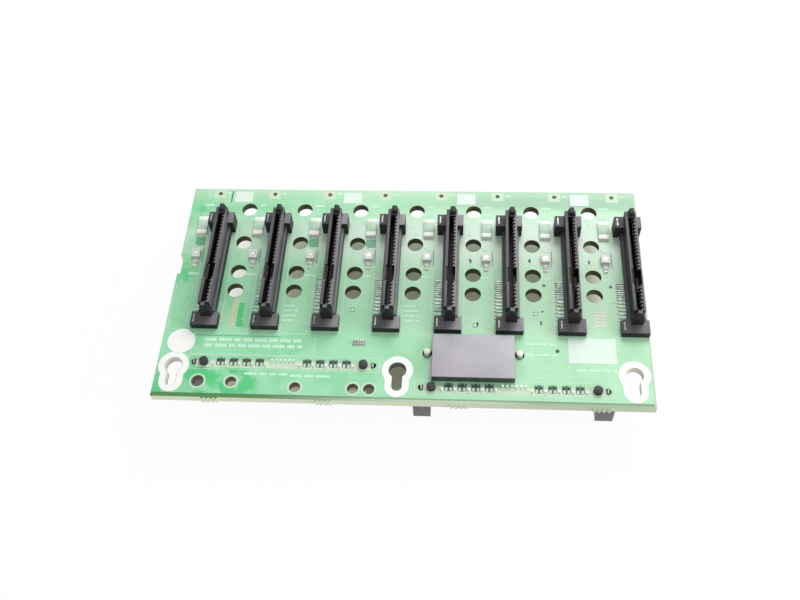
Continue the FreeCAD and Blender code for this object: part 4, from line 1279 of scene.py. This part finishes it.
stageLook = {
    "floor": (0.90, 0.90, 0.90), "floorReach": 6000.0, "floorGap": 0.1,  # its half size and its drop, mm
    "shade": (0.34, 0.37, 0.28),        # painted shadow on the floor below the board
    "shadeGlow": (1.0, 0.95, 0.78),
    "shadeX": (-72.0, -28.0, 56.0, 69.0), "shadeY": (-4.0, 3.0, 60.0, 67.0),  # where it fades in and out, mm
    "frontShade": (-63.0, 0.5, -20.0, 6.0), "frontSoft": (4.0, 3.0), "frontDepth": 0.80,
    "shadeShare": 0.14, "openShare": 0.95,  # share of plain white seen there, and elsewhere
    "camera": (19.06, -132.61, 236.20), "aim": (-0.56, 24.00, 0.0), "roll": -4.89,
    "lens": 42.75, "sensor": 36.0, "clip": (5.0, 20000.0),
    "worldDiffuse": 0.60,
}
lampLook = {  # place, aim and size in mm, strength in W
    "backSoftbox": {"place": (150, 430, 430), "aim": (0, 30, 0), "size": (460, 320), "power": 2.5},
    "rightPanel": {"place": (480, -20, 190), "aim": (0, 30, 0), "size": (300, 220), "power": 1.2},
}
white = (1.0, 1.0, 1.0)


# 1 for rays that see the backdrop: from the camera, off gloss or through clear stuff
def seenRays(wire):
    camera, glossy, clear = [wire.add("LightPath", output=f"Is {ray} Ray")
                             for ray in ("Camera", "Glossy", "Transmission")]
    return least(camera + glossy + clear, 1.0)


# one sheet, clear from below so that the rear face can be looked at
def makeFloor():
    look = stageLook
    reach, top = look["floorReach"] / 1000, cadLow.z - look["floorGap"] / 1000
    mesh = bpy.data.meshes.new("floor")
    corners = [(-reach, -reach, top), (reach, -reach, top), (reach, reach, top), (-reach, reach, top)]
    mesh.from_pydata(corners, [], [(0, 1, 2, 3)])
    floor = bpy.data.objects.new("floor", mesh)
    scene.collection.objects.link(floor)
    material, shader, place = newSurface("floorPaper", {"Roughness": 0.9, "Specular IOR Level": 0.2})
    mesh.materials.append(material)
    x, y = axes(place)[:2]
    # painted shadow: the floor is darker, with less plain white, below the board and along the front strip
    shade = insideBox(x, y, look["frontShade"], *look["frontSoft"]) * look["frontDepth"]
    shade = most(shade, hump(x, look["shadeX"]) * hump(y, look["shadeY"]))
    share = (1 - shade) * (look["openShare"] - look["shadeShare"]) + look["shadeShare"]
    sheet = blended(cloud(place, 3.0, 3.0), look["floor"], shaded(look["floor"], 0.97))
    feed(shader, {"Base Color": blended(shade, sheet, look["shade"])})
    glow = place.add("Emission", None, {"Color": blended(shade, white, look["shadeGlow"]), "Strength": 1.0})
    paper = Wire(material.node_tree.nodes, shader.outputs[0])
    mixed = place.add("MixShader", None, {0: seenRays(place) * share, 1: paper, 2: glow})
    below = place.add("NewGeometry", output="Backfacing")
    mixed = place.add("MixShader", None, {0: below, 1: mixed, 2: place.add("BsdfTransparent")})
    material.node_tree.links.new(mixed.socket, material.node_tree.nodes["Material Output"].inputs["Surface"])


def makeWorld():
    world = bpy.data.worlds.new("studio")
    scene.world = world
    world.use_nodes = True
    backdrop = world.node_tree.nodes["Background"]
    backdrop.inputs["Color"].default_value = (*white, 1.0)
    plain = stageLook["worldDiffuse"]
    strength = seenRays(Wire(world.node_tree.nodes)) * (1 - plain) + plain
    feed(backdrop, {"Strength": strength})


# puts a lamp or a camera at one place in millimetres, looking at another
def placeAimed(name, data, place, aim, roll=0.0):
    holder = bpy.data.objects.new(name, data)
    scene.collection.objects.link(holder)
    place, aim = Vector(place) / 1000, Vector(aim) / 1000
    turn = (aim - place).to_track_quat("-Z", "Y") @ Quaternion((0, 0, 1), math.radians(roll))
    holder.matrix_world = Matrix.LocRotScale(place, turn, None)
    return holder


def makeLamps():
    for name, look in lampLook.items():
        lamp = bpy.data.lights.new(name, "AREA")
        lamp.shape = "RECTANGLE"
        lamp.size, lamp.size_y = metres(look["size"])
        lamp.energy = look["power"]
        placeAimed(name, lamp, look["place"], look["aim"])


def makeCamera():
    camera = bpy.data.cameras.new("camera")
    camera.sensor_width = stageLook["sensor"]
    camera.lens = stageLook["lens"]
    camera.clip_start, camera.clip_end = metres(stageLook["clip"])
    scene.camera = placeAimed("camera", camera, stageLook["camera"], stageLook["aim"], stageLook["roll"])


makeFloor()
makeWorld()
makeLamps()
makeCamera()
print("stage ready")
